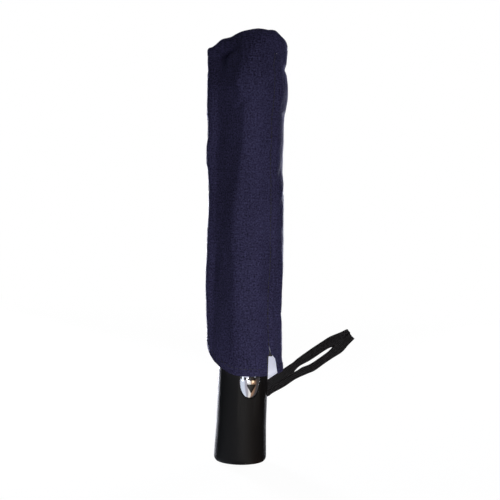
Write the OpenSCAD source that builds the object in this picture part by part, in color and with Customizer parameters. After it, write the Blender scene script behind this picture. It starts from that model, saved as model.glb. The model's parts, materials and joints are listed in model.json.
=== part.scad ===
// Three-fold automatic umbrella, closed and standing in its slip-on sleeve.
// Millimetres, +Z up, origin at the middle of the flat base of the handle,
// press button facing -Y (the front), wrist strap leaving the handle towards +X.
// Eight folding rib chains hang round a telescopic shaft: top rib down,
// middle rib up, end rib down. The stretcher is as long as the distance from
// the crown hinge to the stretcher pivot.

/* [Handle] */
// height of the grip, base to the seat of the rib tip cup
grip_h = 79; // [65:0.5:95]
// half width of the grip, side to side, at its middle
grip_half_w = 17.8; // [14:0.1:22]
// half depth of the grip, front to back, at its middle
grip_half_d = 16.0; // [13:0.1:20]
// extra half width where the grip flares at its base
grip_flare = 1.2; // [0:0.1:3]

/* [Press button] */
// height of the middle of the button above the base
button_z = 56.5; // [45:0.5:65]
// full width of the button
button_w = 15.2; // [10:0.1:18]
// full height of the button
button_h = 19; // [12:0.1:24]

/* [Telescopic shaft] */
// outside radius of the outer tube, fixed in the handle
tube_r = 6.5; // [5.5:0.1:8]
// wall of each of the three tubes
tube_wall = 0.5; // [0.4:0.05:0.8]
// running gap between one tube and the next
tube_gap = 0.5; // [0.2:0.05:0.8]
// height of the mouth of the outer tube
tube_top = 256; // [230:1:260]

/* [Ribs] */
// number of rib chains round the shaft
rib_count = 8; // [8]
// height of the rib hinges on the crown
crown_z = 284; // [260:1:290]
// radius of the circle of hinges on the crown and on the runner
hinge_r = 10; // [9:0.1:12]
// length from crown hinge to stretcher pivot, and of the stretcher
stretcher_l = 88; // [70:1:95]
// length of the top rib, hinge to hinge
top_l = 165; // [150:1:170]
// length of the middle rib, hinge to hinge
mid_l = 150; // [130:1:160]
// length of the end rib, hinge to tip
end_l = 185; // [160:1:190]
// width of the folded steel channel of the ribs
channel_w = 4; // [3:0.1:4.5]
// thickness of the rib steel
steel_t = 0.5; // [0.4:0.05:0.8]

/* [Folded canopy] */
// outside radius of the folded canopy bundle
bundle_r = 20.4; // [19.5:0.1:22]
// inside radius of the folded canopy bundle
bundle_in = 18.7; // [18.4:0.1:19.5]

/* [Sleeve] */
// thickness of the sleeve cloth with its lining
cloth_t = 0.7; // [0.4:0.05:1.2]
// height of the hem above the base of the handle
hem_z = 63.5; // [50:0.5:75]
// height of the side slit above the hem
slit_h = 21; // [10:1:35]
// direction the flat side of the sleeve faces, from the front of the handle
sleeve_turn = -20; // [-45:1:45]

/* [Wrist strap] */
// thickness of the doubled webbing
webbing_t = 1.6; // [1:0.1:2.5]
// height of the strap pin above the base
strap_z = 51.5; // [45:0.5:56]
// distance of the strap pin from the axis of the handle
strap_x = 10.6; // [10:0.1:12]
// how far the loop sags below its straight line, degrees
strap_sag = 3.7; // [0:0.1:10]
// length of the loop against its pattern
strap_let_out = 1.06; // [0.8:0.01:1.2]

/* [Hidden] */
$fn = 48;

// radii of the nested tubes
mid_tube_r = tube_r - tube_wall - tube_gap;
inner_tube_r = mid_tube_r - tube_wall - tube_gap;

// joints of a rib chain: height, and distance from the shaft axis
pivot_z = crown_z - stretcher_l;    // stretcher on the top rib
runner_z = pivot_z - stretcher_l;   // stretcher on the runner
fold1_z = crown_z - top_l;          // top rib to middle rib
fold2_z = fold1_z + mid_l;          // middle rib to end rib
tip_z = fold2_z - end_l;            // tip of the end rib
fold1_r = 13.6;
fold2_r = 16.8;

soft_black = [0.10, 0.10, 0.105];
deep_black = [0.08, 0.08, 0.085];
navy = [0.18, 0.17, 0.27];
steel = [0.62, 0.63, 0.65];
button_grey = [0.8, 0.8, 0.82];
arrow_black = [0.03, 0.03, 0.03];

// ---- helpers ---------------------------------------------------------------

// Catmull-Rom point between points[i] and points[i + 1], t from 0 to 1
function curve_point(points, i, t) =
    let (last = len(points) - 1,
         before = points[max(i - 1, 0)],
         from = points[i],
         to = points[min(i + 1, last)],
         after = points[min(i + 2, last)])
    0.5 * (2 * from + (to - before) * t
           + (2 * before - 5 * from + 4 * to - after) * t * t
           + (3 * from - before - 3 * to + after) * t * t * t);

// smooth curve through the points, four steps to a span
function curve(points, steps = 4) = concat(
    [for (i = [0:len(points) - 2], j = [0:steps - 1]) curve_point(points, i, j / steps)],
    [points[len(points) - 1]]);

// column of a table at height z (column 0), straight between rows
function look_up(table, z, column) =
    let (last = len(table) - 1)
    z <= table[0][0] ? table[0][column] :
    z >= table[last][0] ? table[last][column] :
    let (i = max([for (k = [0:last - 1]) if (table[k][0] <= z) k]),
         low = table[i],
         high = table[i + 1])
    low[column] + (high[column] - low[column]) * (z - low[0]) / (high[0] - low[0]);

// skin over closed rings of equal length, one cap face at each end
module skin(rings) {
    sides = len(rings[0]);
    levels = len(rings);
    polyhedron(
        points = [for (ring = rings) each ring],
        faces = concat(
            [[for (j = [0:sides - 1]) j]],
            [for (i = [0:levels - 2], j = [0:sides - 1])
                let (low = i * sides, high = low + sides, next = (j + 1) % sides)
                each [[low + j, high + j, high + next],
                      [low + j, high + next, low + next]]],
            [[for (j = [sides - 1:-1:0]) (levels - 1) * sides + j]]),
        convexity = 6);
}

// wire wound on a cylinder of radius r along +Z
module coil(r, wire, length, turns, steps = 12, sides = 5) {
    total = turns * steps;
    skin([for (i = [0:total])
        let (turn = 360 * i / steps, z = wire + (length - 2 * wire) * i / total)
        [for (j = [0:sides - 1])
            let (side = -360 * j / sides, reach = r + wire * cos(side))
            [reach * cos(turn), reach * sin(turn), z + wire * sin(side)]]]);
}

// place of rib chain k
module around(k) {
    rotate([0, 0, 360 / rib_count * (k - 0.5)]) children();
}

// cylinder along Y, centred on y = 0
module cross_pin(x, z, r, w) {
    translate([x, w / 2, z]) rotate([90, 0, 0]) cylinder(r = r, h = w);
}

// box from x0 to x1 and z0 to z1, centred on y = 0
module slab(x0, x1, w, z0, z1) {
    translate([x0, -w / 2, z0]) cube([x1 - x0, w, z1 - z0]);
}

// ring round the Z axis, standing on height z
module pipe(r_out, r_in, z, h) {
    translate([0, 0, z]) difference() {
        cylinder(r = r_out, h = h);
        translate([0, 0, -1]) cylinder(r = r_in, h = h + 2);
    }
}

// ---- handle ----------------------------------------------------------------

foot_bore_r = 13;      // wide bore at the foot of the grip
core_bore_r = 8;       // bore above it
core_z = 4;            // underside of the core
core_foot_r = foot_bore_r - 0.3;
tube_foot_z = 8;       // lower end of the outer tube
pin_r = 0.8;           // strap pin and latch pin
pin_l = 13.6;
pin_hole_r = 0.82;
pin_hole_l = 14;
pin_eye_r = 0.95;      // running hole of a part on its pin
latch_y = -10.6;       // axis of the latch pin
latch_z = 42;

// half width or half depth of the grip at height z
function grip_half(z, half) =
    let (flare_h = 34, foot_h = 4, foot_in = 3, top_h = 2, top_slope = 0.35,
         flare = grip_flare * pow(max(0, 1 - z / flare_h), 1.6),
         top = max(0, z - grip_h + top_h) * top_slope,
         foot = z < foot_h
             ? foot_in - sqrt(max(0, foot_in * foot_in
                                     - pow((foot_h - z) * foot_in / foot_h, 2)))
             : 0)
    half + flare - top - foot;

module grip_form() {
    sides = 64;
    levels = [0, 0.4, 1, 2, 3, 4.2, 7, 12, 18, 26, 36, 48, 60, 70,
              grip_h - 2, grip_h - 1, grip_h];
    skin([for (z = levels) [for (j = [0:sides - 1])
        [grip_half(z, grip_half_w) * cos(360 * j / sides),
         grip_half(z, grip_half_d) * sin(360 * j / sides),
         z]]]);
}

// cylinder along X on the latch axis, centred on x = 0
module on_latch_axis(r, w) {
    translate([-w / 2, latch_y, latch_z]) rotate([0, 90, 0]) cylinder(r = r, h = w);
}

module button_well() {
    translate([0, -10.8, button_z]) rotate([90, 0, 0])
        linear_extrude(12) button_outline(0.3);
    // pocket and pin hole of the latch lever
    translate([-3.2, -12.6, 39.5]) cube([6.4, 6, 21]);
    on_latch_axis(pin_hole_r, pin_hole_l);
}

module grip_shell() {
    color(soft_black)
    difference() {
        grip_form();
        translate([0, 0, -1]) cylinder(r = foot_bore_r, h = 31);
        translate([0, 0, 20]) cylinder(r = core_bore_r, h = 70);
        button_well();
        // slot the strap leaves through
        slab(8.3, 28.3, 3, 36, 63);
        cross_pin(strap_x, strap_z, pin_hole_r, pin_hole_l);
    }
}

module end_cap() {
    rim_r = foot_bore_r - 0.1;
    color(deep_black)
    rotate_extrude() polygon([[0, 0], [rim_r, 0], [rim_r, 3.6],
                              [rim_r - 1.5, 3.6], [rim_r - 1.5, 3], [0, 3]]);
}

module handle_core() {
    color(deep_black)
    difference() {
        union() {
            translate([0, 0, core_z]) cylinder(r = core_bore_r - 0.05, h = grip_h - core_z);
            translate([0, 0, core_z]) cylinder(r = core_foot_r, h = 2);
            // four fins on the foot disc
            for (a = [45:90:315]) rotate([0, 0, a]) slab(7, core_foot_r, 1.4, 5, 26);
        }
        translate([0, 0, tube_foot_z]) cylinder(r = tube_r + 0.02, h = 80);
    }
}

// shallow dish on top of the handle that the rib tips come down to
module tip_cup() {
    // radius, height above the grip
    profile = [[6.7, 0.1], [17, 0.1], [18.6, 1.6], [18.6, 4],
               [18.0, 4], [17.6, 2.2], [6.7, 2.2]];
    color(deep_black)
    rotate_extrude() polygon([for (p = profile) [p[0], grip_h + p[1]]]);
}

module strap_pin() {
    color(steel) cross_pin(strap_x, strap_z, pin_r, pin_l);
}

module latch_pin() {
    color(steel) on_latch_axis(pin_r, pin_l);
}

module button_spring() {
    color(steel) translate([0, -8.3, 57.3]) rotate([90, 0, 0])
        coil(r = 1.9, wire = 0.25, length = 4, turns = 4);
}

// long spring inside the inner tube that throws the shaft out
module shaft_spring() {
    color(steel) translate([0, 0, 60]) coil(r = 3.2, wire = 0.45, length = 196, turns = 22);
}

// ---- press button and latch ------------------------------------------------

button_face_r = 17.6;  // curved front of the button, about the Z axis
face_z = 30;           // span of the cylinders that shape the front
face_h = 50;

module button_outline(grow = 0) {
    half_w = button_w / 2 + grow;
    half_h = button_h / 2 + grow;
    // right side, bottom to top, in parts of the half width and half height
    side = [[0, -1], [0.42, -0.9], [0.7, -0.66], [0.9, -0.28], [1, 0.16],
            [0.98, 0.52], [0.82, 0.8], [0.5, 0.95], [0, 1]];
    right = curve([for (p = side) [p[0] * half_w, p[1] * half_h]]);
    left = [for (i = [len(right) - 2:-1:1]) [-right[i][0], right[i][1]]];
    polygon(concat(right, left));
}

// triangle standing on a level base, tip up or down by rise, run out to the front
module arrow(base, rise) {
    half_w = 3.8;
    translate([0, 0, button_z + base]) rotate([90, 0, 0])
        linear_extrude(30) polygon([[-half_w, 0], [half_w, 0], [0, rise]]);
}

module arrows() {
    arrow(base = 3.3, rise = 5.0);
    arrow(base = 0.9, rise = -6.6);
}

module press_button() {
    color(button_grey)
    difference() {
        intersection() {
            translate([0, -12.5, button_z]) rotate([90, 0, 0])
                linear_extrude(8) button_outline();
            translate([0, 0, face_z]) cylinder(r = button_face_r, h = face_h);
        }
        // recesses for the arrows
        difference() {
            arrows();
            translate([0, 0, face_z]) cylinder(r = button_face_r - 0.5, h = face_h);
        }
    }
}

module button_arrows() {
    color(arrow_black)
    intersection() {
        arrows();
        pipe(button_face_r - 0.04, button_face_r - 0.48, face_z, face_h);
    }
}

module latch_lever() {
    lever_w = 3.6;
    nose_z = latch_z + 7.6;
    nose_h = 2;
    color(steel)
    difference() {
        union() {
            translate([-lever_w / 2, -11, latch_z])
                cube([lever_w, 1, nose_z + nose_h - latch_z]);
            translate([-lever_w / 2, -12.3, nose_z]) cube([lever_w, 1.5, nose_h]);
            on_latch_axis(1.75, lever_w);
        }
        on_latch_axis(pin_eye_r, 10);
    }
}

// ---- wrist strap -----------------------------------------------------------

strap_eye_r = 2.2;

// Pattern of the loop, x and z. Upper and lower edge of the whole strap,
// then of the opening in it; lower edges run back towards the handle.
strap_upper = [
    [strap_x + 1, strap_z + strap_eye_r], [18.7, 59.4], [23.8, 63.4], [30.5, 68.2],
    [38.2, 75], [48.6, 82.4], [59, 88.2], [69.4, 93.2], [76.7, 96.9], [80.6, 95], [82.4, 91]];
strap_lower = [
    [82.4, 91], [79.4, 86.4], [73.7, 80.4], [68.9, 78.1], [59.7, 72.3], [54.5, 69.1],
    [47.1, 65.4], [37.8, 59.8], [28.4, 54], [19.1, 46.7], [strap_x + 1, strap_z - strap_eye_r]];
opening_upper = [[37, 64.8], [41.6, 70.1], [47.6, 73.8], [54.1, 77.2], [65, 83.6]];
opening_lower = [[65, 83.6], [63.2, 79.7], [54.3, 73.6], [47, 69.3], [41.5, 66.6], [37, 64.8]];

// a point of the pattern, let out and sagged about the pin
function hang(p) =
    let (x = (p[0] - strap_x) * strap_let_out, z = p[1] - strap_z)
    [strap_x + x * cos(strap_sag) + z * sin(strap_sag),
     strap_z + z * cos(strap_sag) - x * sin(strap_sag)];

// out along the first curve and back along the second, which starts where
// the first ends; drop is the number of points left off its end
module hung_outline(out, back, drop = 0) {
    there = curve(out);
    home = curve(back);
    polygon([for (p = concat(there, [for (i = [1:len(home) - 1 - drop]) home[i]])) hang(p)]);
}

module wrist_strap() {
    color(soft_black)
    difference() {
        translate([0, webbing_t / 2, 0]) rotate([90, 0, 0])
            linear_extrude(webbing_t) difference() {
                hung_outline(strap_upper, strap_lower);
                hung_outline(opening_upper, opening_lower, drop = 1);
            }
        cross_pin(strap_x, strap_z, strap_eye_r, 10);
    }
    // sewn eye round the pin
    color(soft_black)
    difference() {
        cross_pin(strap_x, strap_z, strap_eye_r, webbing_t);
        cross_pin(strap_x, strap_z, pin_eye_r, 10);
    }
}

// ---- shaft -----------------------------------------------------------------

mid_tube_top = tube_top + 4.5;
inner_tube_top = crown_z - 8;
bush_gap = 0.1;        // bush to the tube running in it
bush_lift = 0.02;      // bush above the mouth of its tube

module tube(r, z0, z1) {
    pipe(r, r - tube_wall, z0, z1 - z0);
}

module outer_tube() {
    color(steel) tube(tube_r, tube_foot_z, tube_top);
}

module middle_tube() {
    color(steel) tube(mid_tube_r, 60, mid_tube_top);
}

module inner_tube() {
    color(steel) tube(inner_tube_r, 58, inner_tube_top);
}

module outer_bush() {
    color(deep_black) pipe(tube_r, mid_tube_r + bush_gap, tube_top + bush_lift, 3.4);
}

module middle_bush() {
    color(deep_black) pipe(mid_tube_r, inner_tube_r + bush_gap, mid_tube_top + bush_lift, 3);
}

// ---- crown -----------------------------------------------------------------

hub_r = 8.2;           // body of the crown and of the runner
hinge_disc_r = 12;     // slotted disc of the crown and of the runner
wire_r = 0.4;          // ring wire the ribs or stretchers hinge on
wire_groove_r = 0.46;

// slots for the roots of the ribs or stretchers
module hinge_slots(z0, z1) {
    for (k = [1:rib_count]) around(k) slab(8.3, 20, 2.2, z0, z1);
}

// ring on the hinge circle, of round section r
module hinge_ring(z, r) {
    translate([0, 0, z]) rotate_extrude() translate([hinge_r, 0]) circle(r = r);
}

module crown_notch() {
    color(deep_black)
    difference() {
        union() {
            translate([0, 0, crown_z - 12]) cylinder(r = hub_r, h = 18);
            translate([0, 0, crown_z - 2]) cylinder(r = hinge_disc_r, h = 4.5);
        }
        // socket of the inner tube, and hole for the stem of the ferrule cap
        translate([0, 0, inner_tube_top - 5]) cylinder(r = inner_tube_r + 0.02, h = 5);
        translate([0, 0, crown_z]) cylinder(r = 1.84, h = 10);
        hinge_slots(crown_z - 3, crown_z + 2);
        hinge_ring(crown_z, wire_groove_r);
    }
}

module crown_ring_wire() {
    color(steel) hinge_ring(crown_z, wire_r);
}

module canopy_washer() {
    color(steel) pipe(7.4, 2, crown_z + 6.05, 0.8);
}

module ferrule_cap() {
    rim_r = 7.6;
    rim_h = 2;
    flat_r = 0.2;      // flat in the middle of the dome
    dome_h = 6.6;
    dome = [for (i = [1:10])
        [flat_r + (rim_r - flat_r) * cos(9 * i), rim_h + dome_h * sin(9 * i)]];
    color(deep_black) translate([0, 0, crown_z + 7.8]) union() {
        rotate_extrude() polygon(concat(
            [[0, 0], [rim_r, 0], [rim_r, rim_h]], dome, [[0, rim_h + dome_h]]));
        translate([0, 0, -7]) cylinder(r = 1.8, h = 7.5);
    }
}

// ---- folded canopy ---------------------------------------------------------

// canopy cloth gathered round the ribs: eight soft lobes and a cone at the crown
module canopy() {
    foot_z = 86;
    shoulder_z = crown_z - 1;
    lobe_r = 5;
    color(navy)
    difference() {
        union() {
            translate([0, 0, foot_z]) cylinder(r = bundle_r - 0.7, h = shoulder_z - foot_z);
            for (k = [1:rib_count]) around(k)
                translate([bundle_r - lobe_r, 0, foot_z])
                    cylinder(r = lobe_r, h = shoulder_z - foot_z);
            translate([0, 0, shoulder_z]) cylinder(r1 = bundle_r - 0.9, r2 = 9, h = 8.4);
        }
        // hollow of the bundle and of the cone
        translate([0, 0, foot_z - 1]) cylinder(r = bundle_in, h = shoulder_z - foot_z + 1.2);
        translate([0, 0, shoulder_z + 0.1]) cylinder(r1 = bundle_in, r2 = 8.3, h = 7.8);
        // hole for the cap stem, and room for the crown
        translate([0, 0, foot_z - 1]) cylinder(r = 2.2, h = 300);
        translate([0, 0, crown_z]) cylinder(r = 8.3, h = 7);
    }
}

// tie band of the canopy with its hook-and-loop end
module closure_strap() {
    band_z = 132;
    band_in = bundle_r + 0.1;
    color(navy)
    union() {
        pipe(band_in + 0.6, band_in, band_z, 18);
        rotate([0, 0, -150]) intersection() {
            pipe(band_in + 1.2, band_in + 0.4, band_z + 0.5, 17);
            slab(15, 25, 24, band_z - 2, band_z + 23);
        }
    }
}

// ---- runner ----------------------------------------------------------------

module runner() {
    foot_z = runner_z - 22;
    color(deep_black)
    difference() {
        union() {
            translate([0, 0, foot_z]) cylinder(r = hub_r, h = 25.5);
            translate([0, 0, foot_z]) cylinder(r = 9.6, h = 3);
            translate([0, 0, runner_z - 2.2]) cylinder(r = hinge_disc_r, h = 4.4);
        }
        translate([0, 0, foot_z - 8]) cylinder(r = tube_r + 0.3, h = 50);
        hinge_slots(runner_z - 5, runner_z + 5);
        hinge_ring(runner_z, wire_groove_r);
    }
}

module runner_ring_wire() {
    color(steel) hinge_ring(runner_z, wire_r);
}

// ---- rib chains ------------------------------------------------------------

root_w = 1.6;          // flattened roots on the ring wires
wire_eye_r = 0.62;     // their holes
rivet_r = 0.6;         // stretcher pivot and first fold
rivet_eye_r = 0.72;
fold2_rivet_r = 0.55;  // second fold
fold2_eye_r = 0.68;
eye_cut = 6;           // length of the cutters for the holes

// channel between heights z0 and z1, back at the outside, open towards the shaft
module channel_in(x0, x1, z0, z1) {
    difference() {
        slab(x0, x1, channel_w, z0, z1);
        slab(x0 - 1, x1 - steel_t, channel_w - 2 * steel_t, z0 - 1, z1 + 1);
    }
}

// two ears of radius r reaching from x0 out to a fold at x, z, and their rivet
module fold_ears(x0, x, z, r, below, rivet) {
    for (side = [-1, 1]) translate([0, side * (channel_w / 2 - steel_t / 2), 0]) {
        slab(x0, x, steel_t, z - below, z + r);
        cross_pin(x, z, r, steel_t);
    }
    cross_pin(x, z, rivet, channel_w);
}

module rib_top(k) {
    root_z = crown_z - 9;
    neck_z = crown_z - 6.6;
    ear_below = 2.6;
    color(deep_black) around(k) difference() {
        union() {
            channel_in(8.6, 12, fold1_z - ear_below, neck_z);
            // flattened root with its eye
            slab(hinge_r - 1.2, hinge_r + 1.2, root_w, root_z, crown_z);
            slab(hinge_r - 1.2, 11.8, 3.4, root_z, neck_z);
            cross_pin(hinge_r, crown_z, 1.2, root_w);
            // rivet carrying the stretcher
            cross_pin(hinge_r, pivot_z, rivet_r, channel_w);
            fold_ears(x0 = 11.4, x = fold1_r, z = fold1_z, r = 1.6,
                      below = ear_below, rivet = rivet_r);
        }
        cross_pin(hinge_r, crown_z, wire_eye_r, eye_cut);
    }
}

module stretcher(k) {
    bar_w = 2.4;
    x0 = hinge_r - 0.9;
    x1 = hinge_r + 0.9;
    color(deep_black) around(k) difference() {
        union() {
            slab(x0, x1, bar_w, runner_z + 6, pivot_z - 3);
            slab(x0, x1, root_w, runner_z, runner_z + 7);
            slab(x0, x1, bar_w, pivot_z - 4, pivot_z);
            cross_pin(hinge_r, runner_z, 1.15, root_w);
            cross_pin(hinge_r, pivot_z, 1.3, bar_w);
        }
        cross_pin(hinge_r, runner_z, wire_eye_r, eye_cut);
        cross_pin(hinge_r, pivot_z, rivet_eye_r, eye_cut);
    }
}

module rib_middle(k) {
    tongue_w = 2.6;
    color(deep_black) around(k) difference() {
        union() {
            channel_in(12.4, 15, fold1_z + 5.5, fold2_z + 2.4);
            // tongue between the ears of the top rib
            slab(12.5, 14.7, tongue_w, fold1_z, fold1_z + 8);
            cross_pin(fold1_r, fold1_z, 1.15, tongue_w);
            fold_ears(x0 = 14.4, x = fold2_r, z = fold2_z, r = 1.5,
                      below = 1.5, rivet = fold2_rivet_r);
        }
        cross_pin(fold1_r, fold1_z, rivet_eye_r, eye_cut);
    }
}

module rib_end(k) {
    tongue_w = 2.4;
    rod_r = 1;
    rod_foot = 5;      // lower end of the rod above the tip
    tip_r = 1.3;
    color(deep_black) around(k) {
        difference() {
            union() {
                slab(fold2_r - 1.1, fold2_r + 1.1, tongue_w, fold2_z - 6, fold2_z);
                cross_pin(fold2_r, fold2_z, 1.2, tongue_w);
                translate([fold2_r, 0, tip_z + rod_foot]) cylinder(r = rod_r, h = end_l - 10.5);
            }
            cross_pin(fold2_r, fold2_z, fold2_eye_r, eye_cut);
        }
        // moulded tip the canopy corner is sewn to
        translate([fold2_r, 0, tip_z]) difference() {
            union() {
                cylinder(r = tip_r, h = 12);
                sphere(r = tip_r);
            }
            translate([0, 0, rod_foot]) cylinder(r = rod_r, h = 12);
        }
    }
}

// ---- sleeve ----------------------------------------------------------------
// Angles run from the front (-Y) towards +X, before the sleeve is turned.

// height, middle offset in x, half width, half depth of the cloth tube
sleeve_stations = [
    [61.3, 1.2, 24.6, 22.4],
    [70, 1.0, 25.4, 23.2],
    [80, 0.6, 26.1, 23.8],
    [115, -1.4, 26.0, 24.0],
    [150, -1.9, 26.5, 24.2],
    [185, -2.5, 26.0, 24.2],
    [220, -4.4, 26.6, 24.2],
    [255, -4.7, 27.3, 24.2],
    [285, -5.6, 28.0, 23.6],
    [291.5, -5.4, 27.2, 22.6],
    [295.5, -4.4, 23.4, 19.4],
    [299, -3.0, 17.8, 15.2],
    [302, -1.0, 12.0, 11.0],
    [304.3, 1.4, 7.4, 7.0],
    [305, 2.4, 3.4, 3.2]];

// start, peak and end angle of the side slit
slit_from = 37;
slit_peak = 45.5;
slit_to = 63;

// height of a straight-sided hump in the hem
function hump(a, middle, half, height) = height * max(0, 1 - abs(a - middle) / half);

// lower edge of the cloth at angle a (-180 to 180): level in front, slit
// and two humps on the +X side, a smooth rise on the -X side
function hem(a) =
    hem_z
    + slit_h * max(0, min((a - slit_from) / (slit_peak - slit_from),
                          (slit_to - a) / (slit_to - slit_peak)))
    + hump(a, middle = 76, half = 24, height = 3.5)
    + hump(a, middle = 110, half = 26, height = 9)
    + 9 * pow(max(0, cos(a + 90)), 3);

// point at angle a and station height z, inset from the outer face;
// over the rounded top the inset also lowers it
function cloth_point(a, z, inset) =
    [look_up(sleeve_stations, z, 1) + (look_up(sleeve_stations, z, 2) - inset) * sin(a),
     -(look_up(sleeve_stations, z, 3) - inset) * cos(a),
     z - inset * max(0, z - 290) / 15];

module sleeve() {
    sides = 72;
    level_z = 90;      // lowest level ring; rings below it follow the hem
    inside_top = 303;  // the inside has no ring above this
    below_hem = 40;    // the inside is carried down to here to open the bottom
    angles = [for (j = [0:sides - 1]) 360 * j / sides];
    levels = concat([level_z], [for (s = sleeve_stations) if (s[0] > level_z) s[0]]);

    function ring(z, inset) = [for (a = angles) cloth_point(a, z, inset)];
    // rings from the hem up towards the lowest level ring
    function hem_rings(inset) = [for (part = [0, 0.25, 0.5, 0.75]) [for (a = angles)
        let (low = hem(a > 180 ? a - 360 : a))
        cloth_point(a, low + (level_z - low) * part, inset)]];

    color(navy) rotate([0, 0, sleeve_turn])
    difference() {
        skin(concat(hem_rings(0), [for (z = levels) ring(z, 0)]));
        skin(concat([ring(below_hem, cloth_t)], hem_rings(cloth_t),
                    [for (z = levels) if (z < inside_top) ring(z, cloth_t)]));
    }
}

// ---- the assembly ----------------------------------------------------------

grip_shell();
end_cap();
handle_core();
tip_cup();
outer_tube();
outer_bush();
strap_pin();
latch_pin();
button_spring();
shaft_spring();
press_button();
button_arrows();
latch_lever();
wrist_strap();
middle_tube();
middle_bush();
inner_tube();
crown_notch();
crown_ring_wire();
canopy();
canopy_washer();
ferrule_cap();
runner();
runner_ring_wire();
closure_strap();
sleeve();
for (k = [1:rib_count]) {
    rib_top(k);
    stretcher(k);
    rib_middle(k);
    rib_end(k);
}
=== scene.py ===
import bpy
import bmesh
import json
import math
import numpy as np
from mathutils import Vector, Matrix, noise

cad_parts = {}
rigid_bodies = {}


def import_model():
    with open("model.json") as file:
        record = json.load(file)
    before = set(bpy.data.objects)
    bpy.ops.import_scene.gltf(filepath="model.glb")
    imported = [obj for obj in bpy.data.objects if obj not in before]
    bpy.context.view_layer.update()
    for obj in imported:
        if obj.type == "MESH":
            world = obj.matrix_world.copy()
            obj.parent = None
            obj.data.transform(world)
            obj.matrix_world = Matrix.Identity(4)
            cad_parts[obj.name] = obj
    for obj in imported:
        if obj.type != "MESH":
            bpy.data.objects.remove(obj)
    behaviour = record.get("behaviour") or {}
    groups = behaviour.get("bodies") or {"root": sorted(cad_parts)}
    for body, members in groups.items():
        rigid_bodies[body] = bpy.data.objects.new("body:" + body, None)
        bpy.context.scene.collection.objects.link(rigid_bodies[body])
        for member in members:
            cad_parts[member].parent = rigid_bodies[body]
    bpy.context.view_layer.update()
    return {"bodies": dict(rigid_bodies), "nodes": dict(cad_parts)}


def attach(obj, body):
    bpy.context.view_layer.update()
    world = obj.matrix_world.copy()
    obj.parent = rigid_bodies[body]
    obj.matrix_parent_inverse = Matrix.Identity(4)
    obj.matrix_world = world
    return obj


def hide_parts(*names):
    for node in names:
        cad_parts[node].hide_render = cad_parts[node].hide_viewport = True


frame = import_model()
NODES = frame["nodes"]
MM = 0.001
TURN = math.radians(20)
RIGHT = np.array([math.cos(TURN), -math.sin(TURN), 0.0])
BACK = np.array([math.sin(TURN), math.cos(TURN), 0.0])


# ------------------------------------------------------------------ materials
def lin(r, g, b):
    f = lambda c: c / 12.92 if c <= 0.04045 else ((c + 0.055) / 1.055) ** 2.4
    return (f(r / 255), f(g / 255), f(b / 255), 1.0)


class Tree:
    """Short-hand for a node tree round one Principled shader."""

    def __init__(self, name):
        self.m = bpy.data.materials.new(name)
        self.m.use_nodes = True
        self.t = self.m.node_tree
        self.t.nodes.clear()
        self.out = self.t.nodes.new("ShaderNodeOutputMaterial")
        self.p = self.t.nodes.new("ShaderNodeBsdfPrincipled")
        self.t.links.new(self.p.outputs[0], self.out.inputs[0])

    def node(self, kind, **props):
        n = self.t.nodes.new(kind)
        for k, v in props.items():
            setattr(n, k, v)
        return n

    def link(self, a, b):
        self.t.links.new(a, b)

    def put(self, target, value):
        if hasattr(value, "is_output"):
            self.link(value, target)
        else:
            target.default_value = value

    def math(self, op, a, b=0.0, c=0.0, clamp=False):
        n = self.node("ShaderNodeMath", operation=op, use_clamp=clamp)
        self.put(n.inputs[0], a)
        self.put(n.inputs[1], b)
        self.put(n.inputs[2], c)
        return n.outputs[0]

    def coord(self, which="Object"):
        return self.node("ShaderNodeTexCoord").outputs[which]

    def uv(self):
        return self.node("ShaderNodeUVMap", uv_map="UVMap").outputs[0]

    def scaled(self, vec, sx, sy, sz):
        n = self.node("ShaderNodeMapping")
        self.link(vec, n.inputs["Vector"])
        n.inputs["Scale"].default_value = (sx, sy, sz)
        return n.outputs[0]

    def noise(self, vec, scale, detail=3.0, rough=0.55):
        n = self.node("ShaderNodeTexNoise")
        self.link(vec, n.inputs["Vector"])
        n.inputs["Scale"].default_value = scale
        n.inputs["Detail"].default_value = detail
        n.inputs["Roughness"].default_value = rough
        return n.outputs["Fac"]

    def split(self, vec):
        n = self.node("ShaderNodeSeparateXYZ")
        self.link(vec, n.inputs[0])
        return n.outputs

    def ramp(self, fac, stops):
        n = self.node("ShaderNodeValToRGB")
        self.link(fac, n.inputs[0])
        while len(n.color_ramp.elements) < len(stops):
            n.color_ramp.elements.new(0.5)
        for e, (pos, col) in zip(n.color_ramp.elements, stops):
            e.position = pos
            e.color = col
        return n.outputs[0]

    def mix(self, fac, a, b, mode="MIX"):
        n = self.node("ShaderNodeMix", data_type="RGBA", blend_type=mode)
        self.put(n.inputs[0], fac)
        self.put(n.inputs[6], a)
        self.put(n.inputs[7], b)
        return n.outputs[2]

    def bump(self, height, strength, distance, normal=None):
        n = self.node("ShaderNodeBump")
        self.link(height, n.inputs["Height"])
        n.inputs["Strength"].default_value = strength
        n.inputs["Distance"].default_value = distance
        if normal is not None:
            self.link(normal, n.inputs["Normal"])
        return n.outputs[0]

    def set(self, **kw):
        names = {"color": "Base Color", "rough": "Roughness", "metal": "Metallic", "spec": "Specular IOR Level",
                 "sheen": "Sheen Weight", "sheen_rough": "Sheen Roughness", "sheen_tint": "Sheen Tint",
                 "coat": "Coat Weight", "coat_rough": "Coat Roughness", "normal": "Normal", "aniso": "Anisotropic"}
        for k, v in kw.items():
            self.put(self.p.inputs[names[k]], v)
        return self


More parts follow.
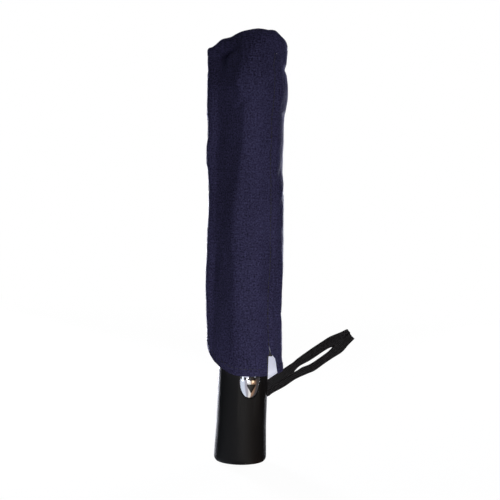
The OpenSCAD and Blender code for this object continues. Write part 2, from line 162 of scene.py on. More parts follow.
def cloth(name, dark, light, pitch=0.00042, sheen=0.5, tint=(0.45, 0.45, 0.95, 1), rough=0.62, speck=1.0, spec=0.28):
    """Plain-woven cloth: over-and-under yarns in both directions, slubs, and soft uneven dye."""
    t = Tree(name)
    uv = t.uv()
    s = t.split(uv)
    k = math.pi / pitch
    u = t.math("SINE", t.math("MULTIPLY", s[0], k))
    v = t.math("SINE", t.math("MULTIPLY", s[1], k))
    weave = t.math("MULTIPLY", u, v)
    wob = t.noise(t.scaled(uv, 1, 1, 1), 840.0, 3.0, 0.68)
    slub_v = t.noise(t.scaled(uv, 2200, 90, 1), 1.0, 1.0)
    slub_h = t.noise(t.scaled(uv, 90, 2200, 1), 1.0, 1.0)
    slub = t.math("ADD", slub_v, slub_h)
    grain = t.math("ADD", t.math("MULTIPLY", wob, 0.84), t.math("MULTIPLY", slub, 0.15))
    broad = t.noise(t.scaled(uv, 1, 0.5, 1), 38.0, 3.0)
    centred = t.math("MULTIPLY_ADD", grain, 2.0 * speck, 0.5 - 0.57 * 2.0 * speck)
    fac = t.math("ADD", t.math("MULTIPLY", centred, 0.8), t.math("MULTIPLY", t.math("SUBTRACT", broad, 0.25), 0.4))
    col = t.ramp(fac, [(0.12, dark), (0.95, light)])
    # painted shade: the colour is multiplied by the weave's height, darker in its dips and a little lighter on its
    # crossings
    weave_shade_factor = t.math("MULTIPLY_ADD", weave, 0.10, 0.95)
    col = t.mix(1.0, col, t.node("ShaderNodeCombineColor").outputs[0], "MIX") if False else col
    shade = t.node("ShaderNodeCombineXYZ")
    for i in range(3):
        t.link(weave_shade_factor, shade.inputs[i])
    col = t.mix(1.0, col, shade.outputs[0], "MULTIPLY")
    n1 = t.bump(weave, 0.35, 0.00008)
    n2 = t.bump(grain, 0.35, 0.00035, n1)
    t.set(color=col, rough=rough, spec=spec, sheen=sheen, sheen_rough=0.45, sheen_tint=tint, normal=n2)
    return t.m


MAT = {}
MAT["sleeve"] = cloth("navy_pongee", lin(30, 28, 46), lin(91, 88, 134), sheen=0.16, spec=0.03, speck=1.6)
MAT["canopy"] = cloth("navy_canopy", lin(30, 28, 54), lin(64, 60, 106), sheen=0.1, spec=0.08)


def silver_lining_painted_glow():
    t = Tree("silver_coating_painted_glow")
    uv = t.uv()
    k = math.pi / 0.00042
    s = t.split(uv)
    weave = t.math("MULTIPLY", t.math("SINE", t.math("MULTIPLY", s[0], k)), t.math("SINE", t.math("MULTIPLY", s[1], k)))
    cloud = t.noise(uv, 60.0, 4.0)
    col = t.ramp(cloud, [(0.3, lin(186, 188, 204)), (0.75, lin(212, 213, 225))])
    t.set(color=col, rough=0.42, metal=0.25, spec=0.5, normal=t.bump(weave, 0.25, 0.00006))
    # painted glow: the lining emits its own silver light at a fixed strength, on the sleeve's inside and the canopy's
    # underside, standing in for the studio light that reaches it through the thin cloth and the slit
    t.put(t.p.inputs["Emission Color"], col)
    t.p.inputs["Emission Strength"].default_value = 0.92
    return t.m


MAT["silver"] = silver_lining_painted_glow()


def thread(name, col):
    t = Tree(name)
    co = t.coord()
    t.set(color=t.mix(t.noise(co, 2500.0, 2.0), col, tuple(min(1, c * 1.8) for c in col[:3]) + (1,)),
          rough=0.6, sheen=0.3, normal=t.bump(t.noise(t.scaled(co, 1, 1, 3), 3000.0, 2.0), 0.4, 0.0001))
    return t.m


# near-black navy thread: its own dark colour, and on the seam row and the slit's top it also serves as painted shade
MAT["thread"] = thread("navy_thread", lin(10, 10, 17))
MAT["thread_black"] = thread("black_thread", lin(24, 24, 25))


def grip():
    t = Tree("soft_touch_black")
    co = t.coord()
    fine = t.noise(co, 2600.0, 3.0, 0.65)
    mid = t.noise(co, 420.0, 3.0)
    wear = t.noise(t.scaled(co, 1, 1, 0.35), 55.0, 4.0)
    col = t.ramp(t.math("ADD", t.math("MULTIPLY", fine, 0.5), t.math("MULTIPLY", wear, 0.5)),
                 [(0.35, lin(10, 9, 10)), (0.68, lin(23, 22, 23))])
    rough = t.math("MULTIPLY_ADD", wear, 0.2, 0.50)
    n = t.bump(fine, 0.28, 0.00012)
    t.set(color=col, rough=rough, spec=0.19, normal=t.bump(mid, 0.12, 0.0002, n))
    return t.m


MAT["grip"] = grip()


def moulded(name, a, b, rough=0.5):
    t = Tree(name)
    co = t.coord()
    f = t.noise(co, 1500.0, 3.0)
    w = t.noise(co, 90.0, 3.0)
    t.set(color=t.ramp(w, [(0.3, a), (0.75, b)]), rough=t.math("MULTIPLY_ADD", w, 0.2, rough - 0.1),
          spec=0.4, normal=t.bump(f, 0.2, 0.0001))
    return t.m


MAT["plastic"] = moulded("black_moulding", lin(22, 22, 23), lin(34, 34, 36))
MAT["arrow"] = moulded("black_enamel", lin(10, 10, 11), lin(18, 18, 19), 0.35)


def chrome():
    t = Tree("bright_chrome")
    co = t.coord()
    w = t.noise(co, 300.0, 3.0)
    hair = t.noise(t.scaled(co, 1, 1, 12), 900.0, 2.0)
    t.set(color=(0.86, 0.87, 0.90, 1), metal=1.0, rough=t.math("MULTIPLY_ADD", w, 0.10, 0.05),
          normal=t.bump(hair, 0.03, 0.00005))
    return t.m


MAT["chrome"] = chrome()


def steel(name, col, rough=0.28, along=1.0):
    t = Tree(name)
    co = t.coord()
    hair = t.noise(t.scaled(co, 1, 1, 0.03 * along), 4000.0, 2.0)
    blot = t.noise(co, 120.0, 4.0)
    t.set(color=t.mix(blot, col, tuple(c * 0.78 for c in col[:3]) + (1,)), metal=1.0,
          rough=t.math("MULTIPLY_ADD", blot, 0.18, rough - 0.06), normal=t.bump(hair, 0.08, 0.00006))
    return t.m


MAT["steel"] = steel("zinc_steel", (0.55, 0.56, 0.58, 1), 0.35)
MAT["tube"] = steel("plated_tube", (0.66, 0.67, 0.70, 1), 0.2)


def rib_paint():
    t = Tree("black_coated_steel")
    co = t.coord()
    w = t.noise(co, 160.0, 4.0)
    worn = t.ramp(t.noise(co, 700.0, 4.0, 0.7), [(0.70, (0, 0, 0, 1)), (0.78, (1, 1, 1, 1))])
    t.set(color=t.mix(worn, lin(24, 24, 26), lin(70, 70, 74)), rough=t.math("MULTIPLY_ADD", w, 0.2, 0.28),
          spec=0.5, coat=0.3, coat_rough=0.3, normal=t.bump(w, 0.1, 0.0001))
    return t.m


MAT["rib"] = rib_paint()


def webbing():
    """Black webbing: ribs along the length and the slanted yarns that bind them."""
    t = Tree("black_webbing")
    uv = t.uv()
    s = t.split(uv)
    rib = t.math("SINE", t.math("MULTIPLY", s[1], math.pi / 0.00125))
    rib = t.math("ABSOLUTE", rib)
    slant = t.math("SINE", t.math("ADD", t.math("MULTIPLY", s[0], 2 * math.pi / 0.0011), t.math("MULTIPLY", rib, 2.2)))
    grain = t.noise(t.scaled(uv, 900, 1800, 1), 1.0, 2.0)
    h = t.math("ADD", t.math("MULTIPLY", rib, 0.8), t.math("ADD", t.math("MULTIPLY", slant, 0.22), t.math("MULTIPLY", grain, 0.25)))
    # painted light and shade: the colour follows the rib relief, near black in the grooves and much lighter on the
    # crests
    col = t.ramp(h, [(0.35, lin(3, 3, 4)), (0.72, lin(20, 19, 21)), (0.98, lin(72, 71, 74))])
    t.set(color=col, rough=0.62, spec=0.12, sheen=0.08, sheen_rough=0.4, sheen_tint=(0.8, 0.8, 0.85, 1),
          normal=t.bump(h, 0.7, 0.0003))
    return t.m


MAT["webbing"] = webbing()


# ------------------------------------------------------------------ mesh helpers
def new_object(name, verts, faces, mats, smooth=True, uvs=None):
    me = bpy.data.meshes.new(name)
    me.from_pydata([tuple(v) for v in verts], [], [tuple(f) for f in faces])
    me.update()
    for m in mats:
        me.materials.append(m)
    if uvs is not None:
        layer = me.uv_layers.new(name="UVMap")
        idx = np.zeros(len(me.loops), np.int64)
        me.loops.foreach_get("vertex_index", idx)
        layer.data.foreach_set("uv", np.asarray(uvs, float)[idx].ravel())
    if smooth:
        me.polygons.foreach_set("use_smooth", [True] * len(me.polygons))
    o = bpy.data.objects.new(name, me)
    bpy.context.scene.collection.objects.link(o)
    return o


def fix_normals(o):
    bm = bmesh.new()
    bm.from_mesh(o.data)
    bmesh.ops.recalc_face_normals(bm, faces=bm.faces)
    bm.to_mesh(o.data)
    bm.free()


def refine(node, name, mat, bevel=0.0, angle=35, body=None, segments=2):
    """A copy of a CAD node that may take rounded edges and smooth shading, standing in for it."""
    src = NODES[node]
    me = src.data.copy()
    me.name = name
    bm = bmesh.new()
    bm.from_mesh(me)
    bmesh.ops.remove_doubles(bm, verts=bm.verts, dist=2e-6)
    bmesh.ops.dissolve_limit(bm, angle_limit=math.radians(1.0), verts=bm.verts, edges=bm.edges)
    bmesh.ops.recalc_face_normals(bm, faces=bm.faces)
    bm.to_mesh(me)
    bm.free()
    me.materials.clear()
    me.materials.append(mat)
    me.polygons.foreach_set("use_smooth", [True] * len(me.polygons))
    me.set_sharp_from_angle(angle=math.radians(angle))
    o = bpy.data.objects.new(name, me)
    bpy.context.scene.collection.objects.link(o)
    if bevel:
        b = o.modifiers.new("edges", "BEVEL")
        b.width = bevel
        b.segments = segments
        b.limit_method = "ANGLE"
        b.angle_limit = math.radians(angle)
        b.harden_normals = True
    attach(o, body)
    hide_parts(node)
    return o


def catmull(points, m):
    p = np.asarray(points, float)
    out = []
    n = len(p)
    for i in range(n - 1):
        a, b, c, d = p[max(i - 1, 0)], p[i], p[i + 1], p[min(i + 2, n - 1)]
        for j in range(m):
            t = j / m
            out.append(0.5 * (2 * b + (c - a) * t + (2 * a - 5 * b + 4 * c - d) * t * t + (3 * b - a - 3 * c + d) * t ** 3))
    out.append(p[-1])
    return np.array(out)


def smoothstep(a, b, x):
    t = np.clip((x - a) / (b - a), 0, 1)
    return t * t * (3 - 2 * t)


# ------------------------------------------------------------------ sleeve
# height, middle offset and half width of the cloth tube, mm
TAB = np.array([
    (40, 1.9, 25.8), (61, 1.9, 25.8), (67.3, 1.6, 25.8), (71.4, 1.2, 25.8), (75.5, 0.8, 25.8), (81.1, 0.6, 26.0), (88.1, 0.1, 26.0), (96.4, -0.6, 25.9),
    (104.8, -1.3, 25.9), (113.2, -1.65, 26.0), (121.6, -2.1, 26.35), (130, -2.25, 26.4), (141.2, -2.1, 26.65),
    (146.8, -1.95, 26.5), (155.2, -2.1, 26.5), (163.6, -2.15, 26.25), (172, -2.1, 25.9), (184.6, -2.6, 25.9),
    (197.2, -3.3, 25.8), (205.6, -4.3, 25.65), (209.8, -4.75, 26.2), (218.2, -5.1, 26.35), (222.4, -5.0, 26.35),
    (226.6, -4.6, 26.2), (235, -5.0, 26.1), (239.2, -5.45, 25.95), (243.4, -5.6, 26.5), (247.6, -5.1, 27.1),
    (251.8, -4.9, 27.35), (256, -4.6, 27.65), (260.2, -4.65, 27.8), (264.4, -4.8, 27.8), (268.6, -5.3, 27.8),
    (272.8, -5.6, 27.6), (276.9, -6.4, 26.9), (281.2, -6.0, 27.6), (285.4, -5.95, 27.8), (289.6, -6.1, 28.1), (320, -6.1, 28.1)])
# top seam line: side-to-side place and height, mm
SEAM = catmull([(-34.4, 290.6), (-33.0, 292.6), (-29.5, 293.4), (-26.0, 295.4), (-21.5, 298.4), (-15.0, 299.6), (-11.0, 301.6),
                (-7.0, 303.4), (-1.0, 305.0), (5.5, 304.6), (10.5, 304.6), (15.0, 301.4), (19.5, 298.0), (21.6, 294.4), (22.2, 290.6)], 6)


def hem_height(a):
    """Lower edge of the sleeve, mm, for angle a in degrees from the front, positive to the right."""
    h = 63.7 + np.interp(a, [37.4, 38.2, 39.0, 40.6, 44.2, 46.0, 47.0, 51.0, 56.0, 59.0, 61.5, 64.0],
                         [0.0, 5.5, 10.0, 13.0, 15.0, 21.0, 15.5, 13.8, 11.5, 7.0, 3.0, 0.0])
    h = h + 2.5 * np.maximum(0, 1 - np.abs(a - 82) / 20) + 2.0 * np.maximum(0, 1 - np.abs(a - 110) / 26)
    h = h + np.interp((a + 360) % 360, [0, 150, 180, 210, 240, 258, 270, 280, 290, 302, 315, 325, 335, 345, 360],
                      [0, 0, 2, 6, 13, 17.5, 18.5, 15.8, 11.6, 7.6, 4.6, 2.8, 1.2, 0.3, 0]) - 7.0 * window(a, 100, 176, 22)
    return h


def bell(x, w):
    return np.exp(-(x / w) ** 2)


GRID = np.arange(30.0, 330.0, 1.0)


def follow(z, table, blur=6.0):
    """Value that wanders smoothly with height through (height, value) pairs."""
    t = np.array(sorted(table), float)
    v = np.interp(GRID, t[:, 0], t[:, 1])
    k = np.exp(-0.5 * (np.arange(-24, 25) / blur) ** 2)
    v = np.convolve(np.pad(v, 24, mode="edge"), k / k.sum(), mode="valid")
    return np.interp(z, GRID, v)


def window(z, lo, hi, soft):
    return smoothstep(lo, lo + soft, z) * (1 - smoothstep(hi - soft, hi, z))


def folds(a, z):
    """How far the cloth stands off its even tube, mm. a in degrees, z in mm."""
    d = np.zeros_like(z)
    # long soft ridge a little left of the middle, with the hollow beside it
    ra = follow(z, [(62, -8), (90, -12), (118, -10), (142, -12), (152, -22), (188, -21), (212, -6), (226, -2),
                    (240, -4), (246, 2), (252, -3), (262, -24), (268, -16), (276, -8), (292, -7), (305, 2)])
    s = a - ra
    d += window(z, 70, 300, 25) * 0.45 * (bell(s - 4, 16) * (s > 4) + bell(s - 4, 14) * (s <= 4))
    rv = follow(z, [(62, -62), (150, -61), (215, -60), (240, -58), (290, -52)])
    sv = a - rv
    d -= window(z, 78, 298, 30) * 0.3 * (bell(sv, 22) * (sv > 0) + bell(sv, 12) * (sv <= 0))
    d -= window(z, 66, 150, 18) * 0.4 * bell(a + 66, 2.4)
    d += window(z, 70, 250, 30) * 0.9 * bell(a + 79, 8)
    # hollow before the side seam and the strip beyond it
    d -= window(z, 60, 300, 18) * 1.2 * bell(a - 40, 8)
    d += window(z, 60, 280, 18) * 0.8 * bell(a - 57, 8)
    d += window(z, 100, 250, 30) * 0.7 * bell(a - 66, 12)
    d += window(z, 84, 150, 18) * 1.0 * bell(a - 74, 9)
    # short drags high on the bag
    def drag(a0, z0, da, dz, wa, amp, length):
        # crease through (a0, z0) running towards (da, dz), in mm on the cloth
        x = (a - a0) * 0.46
        y = z - z0
        n = math.hypot(da, dz)
        ux, uy = da / n, dz / n
        along = x * ux + y * uy
        across = -x * uy + y * ux
        return amp * bell(across, wa) * bell(along, length)
    d += drag(-18, 264, 0.9, -0.6, 2.6, 0.8, 9)
    d -= drag(-8, 252, 0.8, 0.7, 2.2, 1.5, 8)
    d -= drag(-22, 258, 1, -0.15, 2.4, 0.7, 9)
    d += drag(4, 276, 0.15, 1, 3.0, 0.8, 16)
    d -= drag(16, 283, 0.25, 1, 2.2, 0.8, 13)
    d += drag(27, 270, -0.15, 1, 3.0, 0.6, 22)
    d -= drag(-30, 279, 0.5, 1, 3.0, 0.3, 14)
    d += drag(-47, 285, 0.2, 1, 3.0, 0.2, 10)
    d -= drag(60, 276, 1, 0.1, 1.9, 1.2, 9)
    d += drag(64, 262, 0.1, 1, 4.5, 0.6, 12)
    d -= drag(66, 243, 1, 0.25, 2.0, 1.0, 9)
    d -= drag(62, 200, 0.5, 1, 2.2, 0.5, 12)
    d += drag(70, 190, 0.5, 1, 2.2, 0.5, 12)
    d -= drag(60, 108, 0.7, -1, 1.6, 0.8, 9)
    d += drag(67, 106, 0.7, -1, 2.0, 0.6, 9)
    d += drag(8, 228, 0.3, 1, 4.0, 0.4, 20)
    d -= drag(-6, 170, 0.1, 1, 3.5, 0.35, 40)
    d -= drag(12, 130, -0.1, 1, 3.0, 0.3, 35)
    d -= drag(24, 92, 0.05, 1, 1.6, 0.35, 22)
    d -= drag(31, 96, 0.02, 1, 1.3, 0.3, 22)
    d -= drag(-34, 200, 0.2, 1, 3.0, 0.5, 30)
    # back of the bag
    for a0, z0, amp, wid, ln in ((150, 120, -1.2, 3.0, 60), (-150, 150, 1.1, 4.0, 70), (180, 210, -1.0, 3.5, 50),
                                 (120, 220, 0.9, 4.0, 40), (-120, 240, -1.0, 3.5, 45), (165, 285, 0.8, 3.0, 14),
                                 (-170, 278, -0.9, 3.0, 16), (-110, 110, -0.9, 3.0, 35)):
        b = (a - a0 + 180) % 360 - 180
        d += amp * bell(b * 0.46 + (z - z0) * 0.03, wid) * bell(z - z0, ln)
    # pressed fold lines across the cloth
    for z0 in (105.5, 190.0):
        d -= 0.3 * bell(z - z0 - 0.006 * a, 0.8)
    return d


def clip_plane(x, y, nx, ny, dist, soft):
    s = x * nx + y * ny - dist
    k = 0.5 * (s + np.sqrt(s * s + soft * soft))
    return x - nx * k, y - ny * k


def facet(x, y, a, z, c, w, depth, q):
    """Flat panels between the soft ridges: the cloth hangs as a rounded box, not as a round tube."""
    fade = smoothstep(0.05, 0.45, q)
    least = np.interp(z, [60, 82, 92, 270, 280, 290, 300], [20.6, 20.8, 22.3, 22.3, 20.6, 15.0, 9.0])
    # left front panel, cut back from the main ridge
    ridge = np.radians(follow(z, [(60, -22), (80, -22), (95, -12), (115, -11), (140, -11), (150, -22), (165, -24), (186, -21),
                                  (200, -12), (212, -6), (226, -2), (240, -4), (246, 1), (252, -3), (262, -22), (268, -15), (276, -8), (305, -7)]))
    turn = np.radians(follow(z, [(60, -38), (80, -42), (95, -48), (150, -53), (175, -51), (205, -46), (250, -45), (262, -50), (290, -54), (305, -54)]))
    nx, ny = np.sin(turn), -np.cos(turn)
    dist = nx * (c + w * np.sin(ridge)) - ny * depth * np.cos(ridge)
    dist = np.maximum(dist, least)
    x2, y2 = clip_plane(x, y, nx, ny, dist, 1.3)
    left = smoothstep(-90, -60, a) * (1 - smoothstep(10, 40, a)) * smoothstep(0.0, 0.30, q)
    x, y = x + (x2 - x) * left, y + (y2 - y) * left
    # front panel
    t = math.radians(5)
    dist = np.maximum(depth * 0.985 + 0.09 * c, 0)
    x2, y2 = clip_plane(x, y, math.sin(t), -math.cos(t), dist, 0.8)
    front = smoothstep(-50, -30, a) * (1 - smoothstep(30, 50, a))
    x, y = x + (x2 - x) * front, y + (y2 - y) * front
    # right front, rounder
    t = math.radians(51)
    e = np.hypot(w * math.sin(t), depth * math.cos(t))
    dist = math.sin(t) * c + e * 0.955
    dist = np.maximum(dist, least + 0.7)
    x2, y2 = clip_plane(x, y, math.sin(t), -math.cos(t), dist, 3.0)
    k = smoothstep(2, 20, a) * (1 - smoothstep(62, 84, a)) * fade
    x, y = x + (x2 - x) * k, y + (y2 - y) * k
    # two panels behind
    for deg, cut in ((148, 0.90), (-140, 0.91)):
        t = math.radians(deg)
        nx, ny = math.sin(t), -math.cos(t)
        e = np.hypot(w * nx, depth * ny)
        dist = np.maximum(e * cut + nx * c, least)
        x2, y2 = clip_plane(x, y, nx, ny, dist, 2.0)
        k = np.clip(np.cos(np.radians(a - deg)) * 3, 0, 1) * fade
        x, y = x + (x2 - x) * k, y + (y2 - y) * k
    return x, y


def clear(x, y, z):
    """Keep the cloth outside the folded umbrella: softly pushed out to the radius of what is under it, mm."""
    r = np.maximum(np.hypot(x, y), 1e-6)
    low = np.interp(z, [60, 82, 86, 128, 132, 150, 154, 273, 279, 284, 287, 291, 296, 300.5, 301.5],
                    [19.2, 20.0, 21.5, 21.5, 22.3, 22.3, 21.5, 21.5, 19.9, 19.2, 17.2, 13.2, 9.4, 8.2, 0.0])
    s = low - r
    push = 0.5 * (s + np.sqrt(s * s + 0.3)) - 0.02
    k = np.where(s > -3, 1 + np.maximum(push, 0) / r, 1.0)
    k = np.where(z > 301, 1.0, k)
    return x * k, y * k


def sleeve_point(a, z, drop=0.0):
    """Outside face of the sleeve, metres, for arrays a (degrees) and z (mm)."""
    a = np.asarray(a, float)
    z = np.asarray(z, float)
    c = np.interp(z, TAB[:, 0], TAB[:, 1])
    w = np.interp(z, TAB[:, 0], TAB[:, 2]) * 1.020
    c = c + 0.15
    rad = np.radians(a)
    sn, cs = np.sin(rad), np.cos(rad)
    depth = np.interp(z, [40, 61, 75, 100, 180, 215, 260, 320], [22.8, 23.0, 24.2, 24.6, 24.8, 25.4, 25.2, 24.6])
    # the bag closes to its top seam like a pillow
    top = np.interp(c + w * sn, SEAM[:, 0], SEAM[:, 1])
    q = np.clip((top - z) / (top - 262.0), 0, 1)
    close = np.sqrt(np.clip(1 - (1 - q) ** 2.6, 0, 1))
    close = 0.035 + 0.965 * close
    # the corners at the sides of a flat bag pinch to an edge
    flat = smoothstep(0.6, 0.0, q)
    sn2 = np.sign(sn) * np.abs(sn) ** (1 - 0.25 * flat)
    amp = smoothstep(0.0, 0.25, q) * 0.8 + 0.2
    d = folds(a, z) * amp
    x = c + w * sn2
    y = -depth * close * cs
    x, y = facet(x, y, a, z, c, w, depth * close, q)
    # the top seam runs back from the ferrule towards both corners
    y = y + (0.58 * np.maximum(0, -x - 3) + 0.30 * np.maximum(0, x - 5)) * (1 - smoothstep(0.0, 1.25, q))
    x = x + d * np.abs(sn) * sn
    y = y - d * close * cs
    x, y = clear(x, y, z)
    p = np.multiply.outer(x, RIGHT) + np.multiply.outer(y, BACK)
    p[..., 2] = z
    return p * MM


def build_sleeve():
    # closer columns round the slit
    angles = []
    a = -180.0
    while a < 180.0 - 1e-6:
        angles.append(a)
        a += 0.5 if 34 <= a < 66 else 1.25
    angles = np.array(angles)
    n = len(angles)
    rows = 230
    f = np.linspace(0, 1, rows)
    verts, uvs = [], []
    hem = hem_height(angles)
    w_hem = 25.0
    x_hem = np.interp(250, TAB[:, 0], TAB[:, 1]) + 27.5 * np.sin(np.radians(angles))
    # column's own height range: hem to the top seam above it
    tops = []
    for aa in angles:
        z = 300.0
        for _ in range(12):
            c = np.interp(z, TAB[:, 0], TAB[:, 1])
            w = np.interp(z, TAB[:, 0], TAB[:, 2])
            z = np.interp(c + w * math.sin(math.radians(aa)), SEAM[:, 0], SEAM[:, 1])
        tops.append(z)
    tops = np.array(tops)
    A = np.repeat(angles[None, :], rows, 0)
    Z = hem[None, :] + (tops - hem)[None, :] * f[:, None]
    P = sleeve_point(A, Z)
    # fine crumple, seeded by place
    N = np.zeros((rows, n))
    for i in range(rows):
        for j in range(n):
            p = P[i, j] * 1000
            N[i, j] = 0.30 * noise.noise(Vector((p[0] * 0.12, p[1] * 0.12, p[2] * 0.045))) \
                + 0.16 * noise.noise(Vector((p[0] * 0.33, p[1] * 0.33, p[2] * 0.16 + 40)))
    top_more = 1 + 0.9 * smoothstep(235, 285, Z)
    centre = np.zeros_like(P)
    out = P.copy()
    out[..., 2] = 0
    ln = np.maximum(np.linalg.norm(out, axis=-1, keepdims=True), 1e-6)
    P = P + out / ln * (N * top_more * smoothstep(0, 12, tops[None, :] - Z))[..., None] * MM
    # hem turned up: a slightly thicker band
    lift = Z - hem[None, :]
    P = P + out / ln * (0.35 * (1 - smoothstep(5.2, 6.0, lift)))[..., None] * MM
    # side seam: the front panel laps over the back one
    step = smoothstep(43.6, 45.4, A) * (1 - smoothstep(47.5, 54, A)) * smoothstep(80, 84, Z)
    P = P - out / ln * (0.9 * step)[..., None] * MM
    P = P - out / ln * (1.0 * bell(A - 45.4, 0.8) * smoothstep(84, 92, Z) * smoothstep(0, 6, tops[None, :] - Z))[..., None] * MM
    px = (P @ RIGHT) * 1000
    py = (P @ BACK) * 1000
    px, py = clear(px, py, Z)
    P = (np.multiply.outer(px, RIGHT) + np.multiply.outer(py, BACK)) * MM
    P[..., 2] = Z * MM
    verts = P.reshape(-1, 3)
    arc = np.concatenate([[0], np.cumsum(np.linalg.norm(np.diff(sleeve_point(angles, np.full(n, 150.0)), axis=0), axis=1))])
    U = np.repeat(arc[None, :], rows, 0)
    uvs = np.stack([U.ravel(), (Z * MM).ravel()], 1)
    faces = []
    for i in range(rows - 1):
        for j in range(n):
            k = (j + 1) % n
            faces.append((i * n + j, i * n + k, (i + 1) * n + k, (i + 1) * n + j))
    o = new_object("sleeve_cloth", verts, faces, [MAT["sleeve"], MAT["silver"]], uvs=uvs)
    # last row of faces closes the seam: join front and back edge of the top
    bm = bmesh.new()
    bm.from_mesh(o.data)
    bm.verts.ensure_lookup_table()
    top = [bm.verts[(rows - 1) * n + j] for j in range(n)]
    left = int(np.argmin(np.abs(angles + 90)))
    right = int(np.argmin(np.abs(angles - 90)))
    front = list(range(left, right + 1))
    back = [(left - i) % n for i in range(0, (left - right) % n + 1)]
    fa = [math.sin(math.radians(angles[j])) for j in front]
    # bridge the two lips
    lips = [e for e in bm.edges if e.verts[0].index >= (rows - 1) * n and e.verts[1].index >= (rows - 1) * n]
    a, b = left, left
    while (a - right) % n != 0 or (b - right) % n != 0:
        na, nb = ((a + 1) % n if a != right else a), ((b - 1) % n if b != right else b)
        ring = []
        for q in (a, na, nb, b):
            if top[q] not in ring:
                ring.append(top[q])
        if len(ring) >= 3:
            bm.faces.new(ring)
        a, b = na, nb
    for fc in bm.faces:
        fc.smooth = True
    bm.to_mesh(o.data)
    bm.free()
    return o, angles, hem, tops, P


sleeve, S_ANG, S_HEM, S_TOP, S_GRID = build_sleeve()


def stitch_run(name, points, normals, mat, length=0.0021, gap=0.0011, r=0.00017):
    """A row of short raised stitches along a polyline on the cloth."""
    pts = np.asarray(points, float)
    nor = np.asarray(normals, float)
    seg = np.linalg.norm(np.diff(pts, axis=0), axis=1)
    s = np.concatenate([[0], np.cumsum(seg)])
    verts, faces = [], []
    pos = gap
    while pos + length < s[-1]:
        ring = []
        prof = [(0.0, 0.25), (0.15, 0.8), (0.5, 1.0), (0.85, 0.8), (1.0, 0.25)]
        ends = []
        for f, k in prof:
            q = pos + f * length
            c = np.array([np.interp(q, s, pts[:, i]) for i in range(3)])
            c2 = np.array([np.interp(q + 1e-5, s, pts[:, i]) for i in range(3)])
            nn = np.array([np.interp(q, s, nor[:, i]) for i in range(3)])
            nn /= np.linalg.norm(nn)
            t = c2 - c
            t /= max(np.linalg.norm(t), 1e-12)
            b = np.cross(t, nn)
            lift = r * (0.2 + 0.5 * math.sin(math.pi * f))
            row = []
            for j in range(6):
                an = math.pi * 2 * j / 6
                row.append(c + nn * lift + r * k * (math.cos(an) * b * 1.15 + math.sin(an) * nn * 0.8))
            ends.append(row)
        base = len(verts)
        for row in ends:
            verts.extend(row)
        for i in range(4):
            for j in range(6):
                k2 = (j + 1) % 6
                faces.append((base + i * 6 + j, base + i * 6 + k2, base + (i + 1) * 6 + k2, base + (i + 1) * 6 + j))
        faces.append(tuple(base + j for j in reversed(range(6))))
        faces.append(tuple(base + 24 + j for j in range(6)))
        pos += length + gap
    return verts, faces


def surface_line(a_list, z_list):
    """Points of the finished cloth at angles a and heights z."""
    a = (np.asarray(a_list, float) + 180) % 360 - 180
    z = np.asarray(z_list, float)
    cols = len(S_ANG)
    j = np.interp(a, np.append(S_ANG, 180.0), np.arange(cols + 1))
    j0 = np.floor(j).astype(int) % cols
    j1 = (j0 + 1) % cols
    fj = (j - np.floor(j))[:, None]
    parts = []
    for col in (j0, j1):
        i = np.clip((z - S_HEM[col]) / (S_TOP[col] - S_HEM[col]), 0, 1) * (S_GRID.shape[0] - 1)
        i0 = np.minimum(np.floor(i).astype(int), S_GRID.shape[0] - 2)
        fi = (i - i0)[:, None]
        parts.append(S_GRID[i0, col] * (1 - fi) + S_GRID[i0 + 1, col] * fi)
    p = parts[0] * (1 - fj) + parts[1] * fj
    out = p.copy()
    out[:, 2] = 0
    nn = out / np.linalg.norm(out, axis=1, keepdims=True)
    return p, nn


def build_stitches_and_painted_shade():
    verts, faces = [], []
    def add(a, z, off, **kw):
        p, nn = surface_line(a, z)
        q = p + nn * off
        v, f = stitch_run("x", q, nn, None, **kw)
        b = len(verts)
        verts.extend(v)
        faces.extend([tuple(i + b for i in fc) for fc in f])
    # beside the seam, on the front panel: the stitches are thick, close-set and near black, painted shade that draws
    # the dark line of the seam's crevice
    z = np.linspace(84, 288, 160)
    add(np.full(160, 44.2), z, 0.00004, length=0.0027, gap=0.00035, r=0.00033)
    # along the turned hem, in the pieces either side of the slit
    a = np.linspace(66, 385, 420)
    aw = (a + 180) % 360 - 180
    add(aw, hem_height(aw) + 5.0, 0.00004)
    a = np.linspace(25, 36, 20)
    add(a, hem_height(a) + 5.0, 0.00004)
    # painted shade at the top of the slit: a dark sheet in the thread's colour just behind the edges, standing in for
    # the deep shadow between the overlapping cloth
    rows_, cols_ = 8, 8
    b = len(verts)
    for i in range(rows_ + 1):
        zz = np.full(cols_ + 1, 77.0 + 9.5 * i / rows_)
        aa = 42.6 + 8.4 * np.arange(cols_ + 1) / cols_
        p, nn = surface_line(aa, np.maximum(zz, hem_height(aa) + 0.05))
        p = p.copy()
        p[:, 2] = zz * MM
        q = p - nn * 0.00045
        verts.extend([tuple(v) for v in q])
    for i in range(rows_):
        for j in range(cols_):
            a0 = b + i * (cols_ + 1) + j
            faces.append((a0, a0 + 1, a0 + cols_ + 2, a0 + cols_ + 1))
    o = new_object("sleeve_stitches_and_painted_shade", verts, faces, [MAT["thread"]])
    return o


stitches = build_stitches_and_painted_shade()


